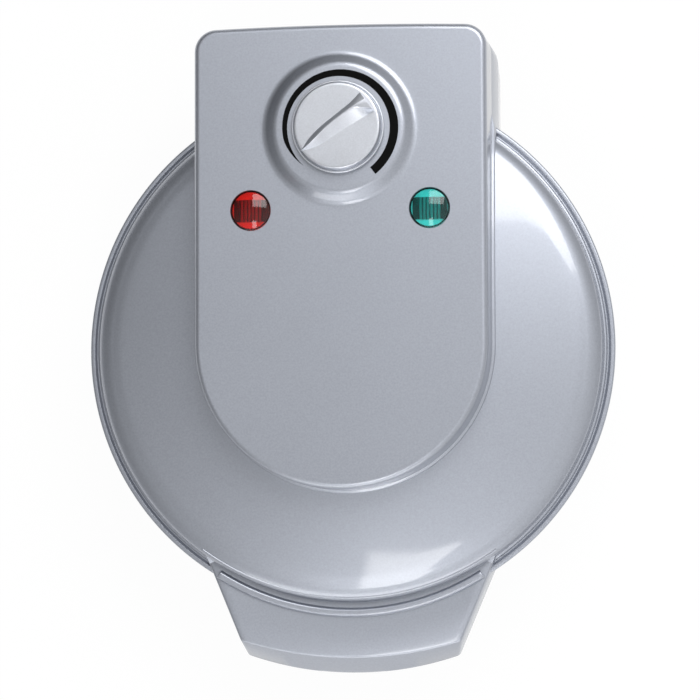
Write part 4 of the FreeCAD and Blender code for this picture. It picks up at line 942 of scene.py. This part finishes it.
def make_scale(material):
    """Tapered crescent printed on the boss round the knob."""
    bm = bmesh.new()
    rows = []
    for step in range(SCALE_STEPS + 1):
        share = step / SCALE_STEPS
        ahead = heading(SCALE_START + (SCALE_END - SCALE_START) * share)
        point = min(1.0, SCALE_TIP + share / SCALE_POINT)
        width = point * min(SCALE_WIDTH[0] + SCALE_GROWTH * share, SCALE_WIDTH[1])
        outer = SCALE_INNER + width
        row = []
        for radius, lift in ((SCALE_INNER, 0), (outer, 0), (outer, SCALE_FILM), (SCALE_INNER, SCALE_FILM)):
            spot = ahead * radius
            row.append(bm.verts.new((spot.x, BOSS_PLACE + spot.y, BOSS_TOP + lift)))
        rows.append(row)
    solid(bm, rows)
    fit_out(as_object(bm, "dial_scale"), "lid", material)


def make_lens(name, x, material):
    """Domed lens with a skirt down into its holder."""
    foot = TOWER_TOP - LENS_DEPTH
    underside = TOWER_TOP - LENS_UNDERSIDE
    ball = (LENS_RADIUS ** 2 + LENS_CROWN ** 2) / (2 * LENS_CROWN)
    tilt = math.degrees(math.asin((LENS_RADIUS - LENS_EDGE) / ball))
    dome = arc_points((0, TOWER_TOP + LENS_CROWN - ball), ball, 90, 90 - tilt, 12)
    dome[0].x = 0
    inner = LENS_RADIUS - LENS_WALL
    skirt = round_corners([
        (LENS_RADIUS, TOWER_TOP - LENS_SHELF, 0),
        (LENS_RADIUS, foot, INSIDE_ROUND),
        (inner, foot, INSIDE_ROUND),
        (inner, underside, 0.3),
        (0, underside, 0),
    ], 3, closed=False)
    bm = bmesh.new()
    lathe(bm, dome + skirt, (x, LENS_PLACE), 96)
    fit_out(as_object(bm, f"{name}_dome"), "lid", material, [name])


def make_camera():
    data = bpy.data.cameras.new("photo_camera")
    data.sensor_width = SENSOR_WIDTH
    data.lens = SENSOR_WIDTH * FOCAL_PIXELS / PHOTO_PIXELS
    camera = bpy.data.objects.new("photo_camera", data)
    scene.collection.objects.link(camera)
    turn = (
        Matrix.Rotation(math.radians(CAMERA_YAW), 4, "Y")
        @ Matrix.Rotation(math.radians(CAMERA_PITCH), 4, "X")
        @ Matrix.Rotation(math.radians(CAMERA_ROLL), 4, "Z")
    )
    camera.matrix_world = Matrix.Translation(Vector(CAMERA_PLACE) * MM) @ turn
    scene.camera = camera


# Finishes.
def feed(tree, sockets, values):
    """Link or set sockets, by label or number."""
    for label, value in values.items():
        if isinstance(value, bpy.types.NodeSocket):
            tree.links.new(value, sockets[label])
        else:
            sockets[label].default_value = value


def add_node(tree, kind, inputs=None, **settings):
    """A node with its settings and what its inputs are fed."""
    node = tree.nodes.new(kind)
    for name, value in settings.items():
        setattr(node, name, value)
    feed(tree, node.inputs, inputs or {})
    return node


def new_tree(name, kind, inputs, outputs):
    """A node group with named sockets, and its input and output nodes."""
    tree = bpy.data.node_groups.new(name, kind)
    for way, sockets in (("INPUT", inputs), ("OUTPUT", outputs)):
        for label, socket_kind, *value in sockets:
            socket = tree.interface.new_socket(label, in_out=way, socket_type=f"NodeSocket{socket_kind}")
            if value:
                socket.default_value = value[0]
    return tree, add_node(tree, "NodeGroupInput").outputs, add_node(tree, "NodeGroupOutput").inputs


def calculate(tree, operation, first, second, clamp=False):
    node = add_node(tree, "ShaderNodeMath", {0: first, 1: second}, operation=operation, use_clamp=clamp)
    return node.outputs[0]


def noise(tree, place, scale, detail=2.0):
    given = {"Vector": place, "Scale": scale, "Detail": detail}
    return add_node(tree, "ShaderNodeTexNoise", given).outputs[0]


def vector_of(tree, x=0.0, y=0.0, z=0.0):
    return add_node(tree, "ShaderNodeCombineXYZ", {"X": x, "Y": y, "Z": z}).outputs[0]


def parts_of(tree, vector):
    return add_node(tree, "ShaderNodeSeparateXYZ", {0: vector}).outputs


def object_place(tree):
    return add_node(tree, "ShaderNodeTexCoord").outputs["Object"]


def swing(tree, pattern, amount):
    """A pattern from 0 to 1 turned into a change from minus to plus an amount."""
    centred = calculate(tree, "SUBTRACT", pattern, 0.5)
    return calculate(tree, "MULTIPLY", centred, calculate(tree, "MULTIPLY", amount, 2))


def make_grain_group():
    """Cloudy colour with a fine grain, for every moulded, cast or painted surface."""
    tree, given, out = new_tree("surface_grain", "ShaderNodeTree", [
        ("Color", "Color", (0.5, 0.5, 0.5, 1)), ("Roughness", "Float", 0.4),
        ("Cloud Size", "Float", 40.0), ("Cloud Amount", "Float", 0.05),
        ("Grain Size", "Float", 1500.0), ("Grain Amount", "Float", 0.03),
        ("Roughness Spread", "Float", 0.05),
    ], [("Color", "Color"), ("Roughness", "Float"), ("Height", "Float")])
    place = object_place(tree)
    cloud = noise(tree, place, given["Cloud Size"], detail=3.0)
    grain = noise(tree, place, given["Grain Size"])

    def together(cloud_amount, grain_amount):
        clouded = swing(tree, cloud, given[cloud_amount])
        return calculate(tree, "ADD", clouded, swing(tree, grain, given[grain_amount]))

    factor = calculate(tree, "ADD", together("Cloud Amount", "Grain Amount"), 1.0)
    shade = add_node(tree, "ShaderNodeVectorMath", {0: given["Color"], "Scale": factor}, operation="SCALE")
    uneven = together("Roughness Spread", "Roughness Spread")
    gloss = calculate(tree, "ADD", given["Roughness"], uneven, clamp=True)
    feed(tree, out, {"Color": shade.outputs[0], "Roughness": gloss, "Height": grain})
    return tree


def make_hairline_group():
    """Fine parallel lines left by rolling, drawing or turning metal."""
    tree, given, out = new_tree("metal_hairlines", "ShaderNodeTree", [
        ("Roughness", "Float", 0.3), ("Line Size", "Float", 2500.0),
        ("Stretch", "Float", 50.0), ("Amount", "Float", 0.1),
    ], [("Roughness", "Float"), ("Height", "Float")])
    size = given["Line Size"]
    stretch = vector_of(tree, calculate(tree, "DIVIDE", size, given["Stretch"]), size, size)
    place = add_node(tree, "ShaderNodeVectorMath", {0: object_place(tree), 1: stretch}, operation="MULTIPLY")
    lines = noise(tree, place.outputs[0], 1.0, detail=3.0)
    uneven = swing(tree, lines, given["Amount"])
    gloss = calculate(tree, "ADD", given["Roughness"], uneven, clamp=True)
    feed(tree, out, {"Roughness": gloss, "Height": lines})
    return tree


def make_dust_group():
    """A thin film of dust on faces that look up."""
    tree, given, out = new_tree("settled_dust", "ShaderNodeTree", [
        ("Color", "Color", (0.5, 0.5, 0.5, 1)), ("Roughness", "Float", 0.4),
        ("Dust Color", "Color", (0.55, 0.54, 0.52, 1)), ("Amount", "Float", 0.05),
        ("Patch Size", "Float", 90.0),
    ], [("Color", "Color"), ("Roughness", "Float")])
    upward = parts_of(tree, add_node(tree, "ShaderNodeNewGeometry").outputs["Normal"])["Z"]
    patches = noise(tree, object_place(tree), given["Patch Size"], detail=6.0)
    film = calculate(tree, "MULTIPLY", calculate(tree, "MAXIMUM", upward, 0.0), patches)
    share = calculate(tree, "MULTIPLY", film, given["Amount"], clamp=True)
    clean, dusty = MIX_COLORS
    blend = {"Factor": share, clean: given["Color"], dusty: given["Dust Color"]}
    shown = add_node(tree, "ShaderNodeMix", blend, data_type="RGBA").outputs[MIX_RESULT]
    dulled = calculate(tree, "MULTIPLY", share, DUST_DULLS)
    gloss = calculate(tree, "ADD", given["Roughness"], dulled, clamp=True)
    feed(tree, out, {"Color": shown, "Roughness": gloss})
    return tree


def place_group(tree, group, values):
    """A shader group in a material, with its own values or links."""
    return add_node(tree, "ShaderNodeGroup", values, node_tree=group).outputs


def shader_of(material):
    """Inputs of a material's own shader."""
    return material.node_tree.nodes["Principled BSDF"].inputs


def new_finish(name, color, roughness, metallic=0.0, coat=0.0, coat_roughness=0.05, clouds=(40, 0.05),
               grain=(1500, 0.04), spread=0.04, relief=0.01, hairlines=0.0, dust=0.0, more=None):
    """A material that varies over the surface; more holds any other inputs of its shader."""
    material = bpy.data.materials.new(name)
    material.use_nodes = True
    tree = material.node_tree
    surface = place_group(tree, GRAIN, {
        "Color": (*color, 1), "Roughness": roughness, "Cloud Size": clouds[0], "Cloud Amount": clouds[1],
        "Grain Size": grain[0], "Grain Amount": grain[1], "Roughness Spread": spread,
    })
    shown, gloss, height = surface["Color"], surface["Roughness"], surface["Height"]
    if hairlines:
        lines = place_group(tree, HAIRLINES, {"Roughness": gloss, "Amount": hairlines})
        gloss, height = lines["Roughness"], lines["Height"]
    if dust:
        dusty = place_group(tree, DUST, {"Color": shown, "Roughness": gloss, "Amount": dust})
        shown, gloss = dusty["Color"], dusty["Roughness"]
    feed(tree, shader_of(material), {
        "Base Color": shown, "Roughness": gloss, "Metallic": metallic, "Coat Weight": coat,
        "Coat Roughness": coat_roughness, "Coat IOR": COAT_REFRACTION, **(more or {}),
    })
    if relief:
        given = {"Strength": 1.0, "Distance": relief * MM, "Height": height}
        bump = add_node(tree, "ShaderNodeBump", given)
        feed(tree, shader_of(material), {"Normal": bump.outputs["Normal"]})
    return material


def clear_finish(name, color, refraction):
    """Clear tinted plastic or glass with faint streaks in its colour."""
    return new_finish(name, color, 0.02, clouds=(120, 0.06), grain=(700, 0.03), spread=0.01, relief=0,
                      more={"Transmission Weight": 1.0, "IOR": refraction})


def fine_finish(name, color, roughness, clouds=0.1, grain=0.05, more=None):
    """Print or plastic so small that it shows no relief."""
    return new_finish(name, color, roughness, clouds=(200, clouds), grain=(3000, grain), relief=0,
                      more=more)


def make_finishes():
    """One finish for each material slot of the record."""
    return {
        "silver_shell": new_finish(
            "silver_lacquer", (0.356, 0.377, 0.428), 0.43, metallic=0.88, coat=0.8, coat_roughness=0.07,
            clouds=(30, 0.012), grain=(1300, 0.14), spread=0.02, relief=0.0015, dust=0.02),
        "silver_knob": new_finish(
            "knob_silver", (0.57, 0.59, 0.635), 0.34, metallic=0.95, coat=0.2,
            clouds=(60, 0.01), grain=(1700, 0.12), spread=0.05, relief=0.006),
        "dark_plastic": new_finish(
            "dark_plastic", (0.03, 0.03, 0.033), 0.48,
            clouds=(50, 0.12), grain=(1800, 0.10), spread=0.05, relief=0.02, dust=0.06),
        "black_rubber": new_finish(
            "black_rubber", (0.02, 0.02, 0.02), 0.7,
            clouds=(80, 0.15), grain=(1200, 0.12), spread=0.06, relief=0.02, dust=0.12),
        "coated_plate": new_finish(
            "nonstick_coating", (0.042, 0.041, 0.041), 0.42, metallic=0.25,
            clouds=(35, 0.10), grain=(2400, 0.22), spread=0.06, relief=0.012, dust=0.03),
        "heater_steel": new_finish(
            "heat_tinted_steel", (0.25, 0.23, 0.21), 0.38, metallic=1.0,
            clouds=(70, 0.3), grain=(1600, 0.08), spread=0.08, relief=0.006, hairlines=0.08),
        "bright_sheet": new_finish(
            "bright_sheet", (0.75, 0.75, 0.76), 0.26, metallic=1.0,
            clouds=(25, 0.06), grain=(900, 0.04), spread=0.05, relief=0.005, hairlines=0.10, dust=0.08),
        "zinc_steel": new_finish(
            "zinc_steel", (0.60, 0.60, 0.59), 0.30, metallic=1.0,
            clouds=(150, 0.10), grain=(1500, 0.06), spread=0.06, relief=0.004, hairlines=0.10),
        "brass_parts": new_finish(
            "turned_brass", (0.60, 0.44, 0.20), 0.28, metallic=1.0,
            clouds=(120, 0.10), grain=(1500, 0.05), spread=0.05, relief=0.004, hairlines=0.10),
        "red_lens": clear_finish("red_lens", (0.88, 0.03, 0.02), 1.48),
        "green_lens": clear_finish("green_lens", (0.12, 0.86, 0.82), 1.48),
        "lamp_glass": clear_finish("lamp_glass", (0.9, 0.9, 0.9), 1.5),
        "white_insulator": new_finish(
            "white_insulator", (0.72, 0.71, 0.67), 0.5, clouds=(60, 0.05), grain=(1400, 0.06), dust=0.15),
        "fuse_can": new_finish(
            "fuse_can", (0.66, 0.65, 0.62), 0.3, metallic=0.9,
            clouds=(150, 0.08), grain=(1500, 0.05), relief=0.003, hairlines=0.06),
        "wire_sleeve": new_finish(
            "wire_sleeve", (0.58, 0.55, 0.50), 0.75,
            clouds=(120, 0.12), grain=(900, 0.18), relief=0.05, dust=0.15),
    }


def dress_nodes(finishes):
    """The solids that stay get their slot's finish."""
    for part in frame["record"]["subparts"]:
        mesh = nodes[part["node"]].data
        mesh.materials.clear()
        mesh.materials.append(finishes[part["material_slot"]])


# Repeated small pieces.
def gather(tree, pieces):
    node = add_node(tree, "GeometryNodeJoinGeometry")
    for piece in pieces:
        tree.links.new(piece, node.inputs[0])
    return node.outputs[0]


def moved(tree, mesh, **change):
    """A mesh moved by a Translation or turned by a Rotation."""
    return add_node(tree, "GeometryNodeTransform", {"Geometry": mesh, **change}).outputs[0]


def rod(tree, radius, length):
    given = {"Vertices": ROD_SIDES, "Radius": radius, "Depth": length}
    return add_node(tree, "GeometryNodeMeshCylinder", given).outputs["Mesh"]


def on_points(tree, points, piece, **change):
    given = {"Points": points, "Instance": piece, **change}
    return add_node(tree, "GeometryNodeInstanceOnPoints", given).outputs[0]


def finish_tree(tree, instances, material, out):
    """Turn instances into a mesh and give it its finish."""
    mesh = add_node(tree, "GeometryNodeRealizeInstances", {0: instances}).outputs[0]
    paint = add_node(tree, "GeometryNodeSetMaterial", {"Geometry": mesh, "Material": material})
    feed(tree, out, {"Geometry": paint.outputs[0]})


def make_screw_tree():
    """Screws with a cross recess, heads at the points, driven down or up."""
    sizes = ("Seat Radius", "Face Radius", "Head Height", "Shank Radius", "Shank Length",
             "Recess Length", "Recess Width", "Recess Depth", "Turn")
    tree, given, out = new_tree("cross_screws", "GeometryNodeTree", [
        ("Geometry", "Geometry"), *((label, "Float") for label in sizes), ("Material", "Material"),
    ], [("Geometry", "Geometry")])
    head = add_node(tree, "GeometryNodeMeshCone", {
        "Vertices": HEAD_SIDES, "Radius Bottom": given["Seat Radius"],
        "Radius Top": given["Face Radius"], "Depth": given["Head Height"],
    })
    sunk = vector_of(tree, z=calculate(tree, "MULTIPLY", given["Head Height"], -1))
    head_mesh = moved(tree, head.outputs["Mesh"], Translation=sunk)
    recess = add_node(tree, "GeometryNodeMeshBoolean", {"Mesh 1": head_mesh}, operation="DIFFERENCE")
    length, width = given["Recess Length"], given["Recess Width"]
    double_depth = calculate(tree, "MULTIPLY", given["Recess Depth"], 2)
    for x, y in ((length, width), (width, length)):
        bar = add_node(tree, "GeometryNodeMeshCube", {"Size": vector_of(tree, x, y, double_depth)})
        feed(tree, recess.inputs, {"Mesh 2": bar.outputs["Mesh"]})
    half = calculate(tree, "MULTIPLY", given["Shank Length"], -0.5)
    low = vector_of(tree, z=calculate(tree, "SUBTRACT", half, given["Recess Depth"]))
    shank = moved(tree, rod(tree, given["Shank Radius"], given["Shank Length"]), Translation=low)
    screw = gather(tree, [recess.outputs["Mesh"], shank])
    spin = add_node(tree, "FunctionNodeRandomValue", {2: 0.0, 3: math.pi / 2, "Seed": SPIN_SEED},
                    data_type="FLOAT")
    turn = vector_of(tree, x=given["Turn"], z=spin.outputs[1])
    finish_tree(tree, on_points(tree, given["Geometry"], screw, Rotation=turn), given["Material"], out)
    return tree


def make_grille_tree():
    """Row of rounded ribs below each lamp's lens."""
    tree, given, out = new_tree("lamp_ribs", "GeometryNodeTree", [
        ("Geometry", "Geometry"), ("Rib Count", "Int"), ("Rib Pitch", "Float"), ("Rib Length", "Float"),
        ("Rib Radius", "Float"), ("Material", "Material"),
    ], [("Geometry", "Geometry")])
    lying = moved(tree, rod(tree, given["Rib Radius"], given["Rib Length"]), Rotation=(math.pi / 2, 0, 0))
    steps = calculate(tree, "SUBTRACT", given["Rib Count"], 1)
    start = calculate(tree, "MULTIPLY", calculate(tree, "MULTIPLY", steps, given["Rib Pitch"]), -0.5)
    row = add_node(tree, "GeometryNodeMeshLine", {
        "Count": given["Rib Count"], "Offset": vector_of(tree, x=given["Rib Pitch"]),
        "Start Location": vector_of(tree, x=start),
    }, mode="OFFSET", count_mode="TOTAL")
    ribs = on_points(tree, row.outputs["Mesh"], lying)
    finish_tree(tree, on_points(tree, given["Geometry"], ribs), given["Material"], out)
    return tree


def grow(name, tree, spots, sizes, others):
    """Run a tree on points, with sizes in millimetres and other values, and keep its mesh."""
    mesh = bpy.data.meshes.new(name)
    mesh.from_pydata([Vector(spot) * MM for spot in spots], [], [])
    piece = bpy.data.objects.new(name, mesh)
    modifier = piece.modifiers.new(name, "NODES")
    modifier.node_group = tree
    sockets = {item.name: item.identifier for item in tree.interface.items_tree if item.in_out == "INPUT"}
    values = {label: size * MM for label, size in sizes.items()}
    for label, value in {**values, **others}.items():
        modifier[sockets[label]] = value
    scene.collection.objects.link(piece)
    settle(piece)
    return piece


def make_screws(zinc):
    """Countersunk plate screws and pan-head handle screws."""
    tree = make_screw_tree()
    ring = [heading(angle) * SCREW_CIRCLE for angle in SCREW_ANGLES]
    handle_row = [(-HANDLE_SCREW, -HANDLE_SCREW_PLACE), (HANDLE_SCREW, -HANDLE_SCREW_PLACE)]
    upward, downward = math.pi, 0.0
    for node, body, spots, height, turn, sizes in (
        ("lower_plate_screws", "base", ring, LOWER_SCREW_FACE, downward, PLATE_SCREW),
        ("upper_plate_screws", "lid", ring, UPPER_SCREW_FACE, upward, PLATE_SCREW),
        ("base_handle_cover_screws", "base", handle_row, BASE_HANDLE_LOW + SCREW_SUNK, upward, PAN_SCREW),
        ("lid_handle_cover_screws", "lid", handle_row, LID_FOOT + SCREW_SUNK, upward, PAN_SCREW),
    ):
        places = [(*spot, height) for spot in spots]
        piece = grow(f"cross_{node}", tree, places, sizes, {"Turn": turn, "Material": zinc})
        fit_out(piece, body, zinc, [node])


def make_grilles(dark, pale, reeded):
    """Insert below each lens: a pale disc that glows faintly as painted light, dark segments at the sides
    and ribs on a dark tray.
    """
    places = (-LENS_SPREAD, LENS_SPREAD)
    spots = [(x, LENS_PLACE, GRILLE_FOOT + RIB_LIFT) for x in places]
    sizes = {"Rib Pitch": GRILLE_PITCH, "Rib Length": GRILLE_LENGTH, "Rib Radius": RIB_SHARE * GRILLE_PITCH}
    others = {"Rib Count": GRILLE_RIBS, "Material": reeded}
    ribs = grow("lamp_ribs", make_grille_tree(), spots, sizes, others)
    fit_out(ribs, "lid", reeded)
    bm = bmesh.new()
    ribs_half = GRILLE_RIBS * GRILLE_PITCH / 2
    reach = GRILLE_LENGTH / 2
    corner = math.sqrt(GRILLE_RADIUS ** 2 - reach ** 2)
    short = math.sqrt(GRILLE_RADIUS ** 2 - GRILLE_HALF ** 2)
    half_frame = [(ribs_half, -reach), (corner, -reach), (GRILLE_HALF, -short),
                  (GRILLE_HALF, short), (corner, reach), (ribs_half, reach)]
    tray_low, tray_high = (GRILLE_FOOT + height for height in TRAY_HEIGHTS)
    for x in places:
        near = (x - ribs_half, LENS_PLACE - reach, tray_low)
        far = (x + ribs_half, LENS_PLACE + reach, tray_high)
        block(bm, near, far)
        for way in (-1, 1):
            outline = [Vector((x + way * across, LENS_PLACE + along)) for across, along in half_frame]
            solid(bm, [add_ring(bm, outline, height) for height in (tray_low, GRILLE_FOOT + GRILLE_RISE)])
    frames = ease_edges(as_object(bm, "lamp_frames"), FRAME_EASE, segments=2)
    fit_out(frames, "lid", dark)
    bm = bmesh.new()
    for x in places:
        lathe(bm, [Vector((0, GRILLE_FOOT))] + round_corners([
            (GRILLE_RADIUS - DISC_MARGIN, GRILLE_FOOT, 0),
            (GRILLE_RADIUS, GRILLE_FOOT, INSIDE_ROUND),
            (GRILLE_RADIUS, GRILLE_FOOT - DISC_THICK, INSIDE_ROUND),
            (0, GRILLE_FOOT - DISC_THICK, 0),
        ], 3, closed=False), (x, LENS_PLACE), 64)
    fit_out(as_object(bm, "lamp_diffusers"), "lid", pale)


# Studio.
def add_softbox(name, place, size, power):
    light = bpy.data.lights.new(name, "AREA")
    light.shape = "RECTANGLE"
    light.size, light.size_y = size
    light.energy = power
    lamp = bpy.data.objects.new(name, light)
    scene.collection.objects.link(lamp)
    lamp.location = place
    aim = Vector((place[0], 0, AIM_HEIGHT))
    lamp.rotation_euler = (aim - lamp.location).to_track_quat("-Z", "Y").to_euler()


def make_world():
    """Pale ceiling, lighter to the right and the front, over darker walls."""
    world = bpy.data.worlds.new("studio")
    scene.world = world
    world.use_nodes = True
    tree = world.node_tree
    toward = parts_of(tree, add_node(tree, "ShaderNodeTexCoord").outputs["Generated"])
    tilt = [calculate(tree, "MULTIPLY", toward[axis], share) for axis, share in zip("XY", CEILING_TILT)]
    sideways = calculate(tree, "ADD", *tilt)
    ceiling = calculate(tree, "MULTIPLY", calculate(tree, "ADD", sideways, 1.0), CEILING_LIGHT)
    given = {"Value": toward["Z"], "From Max": WALL_TOP, "To Min": WALL_SHARE}
    rise = add_node(tree, "ShaderNodeMapRange", given, interpolation_type="SMOOTHSTEP")
    room = calculate(tree, "MULTIPLY", ceiling, rise.outputs[0])
    feed(tree, tree.nodes["Background"].inputs, {"Color": room})


def make_floor():
    """White paper sweep: plain white to the eye and in reflections, with a faint shadow."""
    mesh = bpy.data.meshes.new("floor")
    corners = [(x * FLOOR_EDGE, y * FLOOR_EDGE, 0) for x, y in ((-1, -1), (1, -1), (1, 1), (-1, 1))]
    mesh.from_pydata(corners, [], [(0, 1, 2, 3)])
    floor = bpy.data.objects.new("floor", mesh)
    scene.collection.objects.link(floor)
    paper = bpy.data.materials.new("white_paper")
    paper.use_nodes = True
    tree = paper.node_tree
    feed(tree, shader_of(paper), {
        "Base Color": (0.9, 0.9, 0.9, 1), "Roughness": 0.9, "Specular IOR Level": 0.0,
    })
    glow = add_node(tree, "ShaderNodeEmission", {"Color": (1, 1, 1, 1)}).outputs[0]
    path = add_node(tree, "ShaderNodeLightPath").outputs
    seen = calculate(tree, "MAXIMUM", path["Is Camera Ray"], path["Is Glossy Ray"])
    seen = calculate(tree, "MAXIMUM", seen, path["Is Transmission Ray"])
    share = calculate(tree, "MULTIPLY", seen, PAPER_GLOW)
    matt = tree.nodes["Principled BSDF"].outputs[0]
    mix = add_node(tree, "ShaderNodeMixShader", {0: share, 1: matt, 2: glow})
    feed(tree, tree.nodes["Material Output"].inputs, {"Surface": mix.outputs[0]})
    mesh.materials.append(paper)


make_camera()
make_world()
for softbox in SOFTBOXES:
    add_softbox(*softbox)
make_floor()
GRAIN = make_grain_group()
HAIRLINES = make_hairline_group()
DUST = make_dust_group()
finishes = make_finishes()
dress_nodes(finishes)
make_lid(finishes["silver_shell"])
make_tower(finishes["silver_shell"])
make_base(finishes["silver_shell"])
make_pins(finishes["zinc_steel"])
make_knob(finishes["silver_knob"])
make_scale(fine_finish("scale_ink", (0.004, 0.004, 0.004), 0.8, 0.2, 0.2, {"Specular IOR Level": 0.05}))
make_lens("red_lens", -LENS_SPREAD, finishes["red_lens"])
make_lens("green_lens", LENS_SPREAD, finishes["green_lens"])
insert_dark = fine_finish("lamp_insert_dark", (0.02, 0.02, 0.02), 0.25, grain=0.1)
# The pale insert disc glows faintly: painted light for the light that comes in through the tinted lens.
painted_insert_light = {"Emission Color": (1, 1, 1, 1), "Emission Strength": PAINTED_INSERT_GLOW}
insert_pale = fine_finish("lamp_insert_pale", (0.85, 0.85, 0.84), 0.3, more=painted_insert_light)
insert_reeded = fine_finish("lamp_insert_reeded", (0.32, 0.32, 0.32), 0.3)
make_grilles(insert_dark, insert_pale, insert_reeded)
make_screws(finishes["zinc_steel"])

scene.view_settings.view_transform = "Standard"
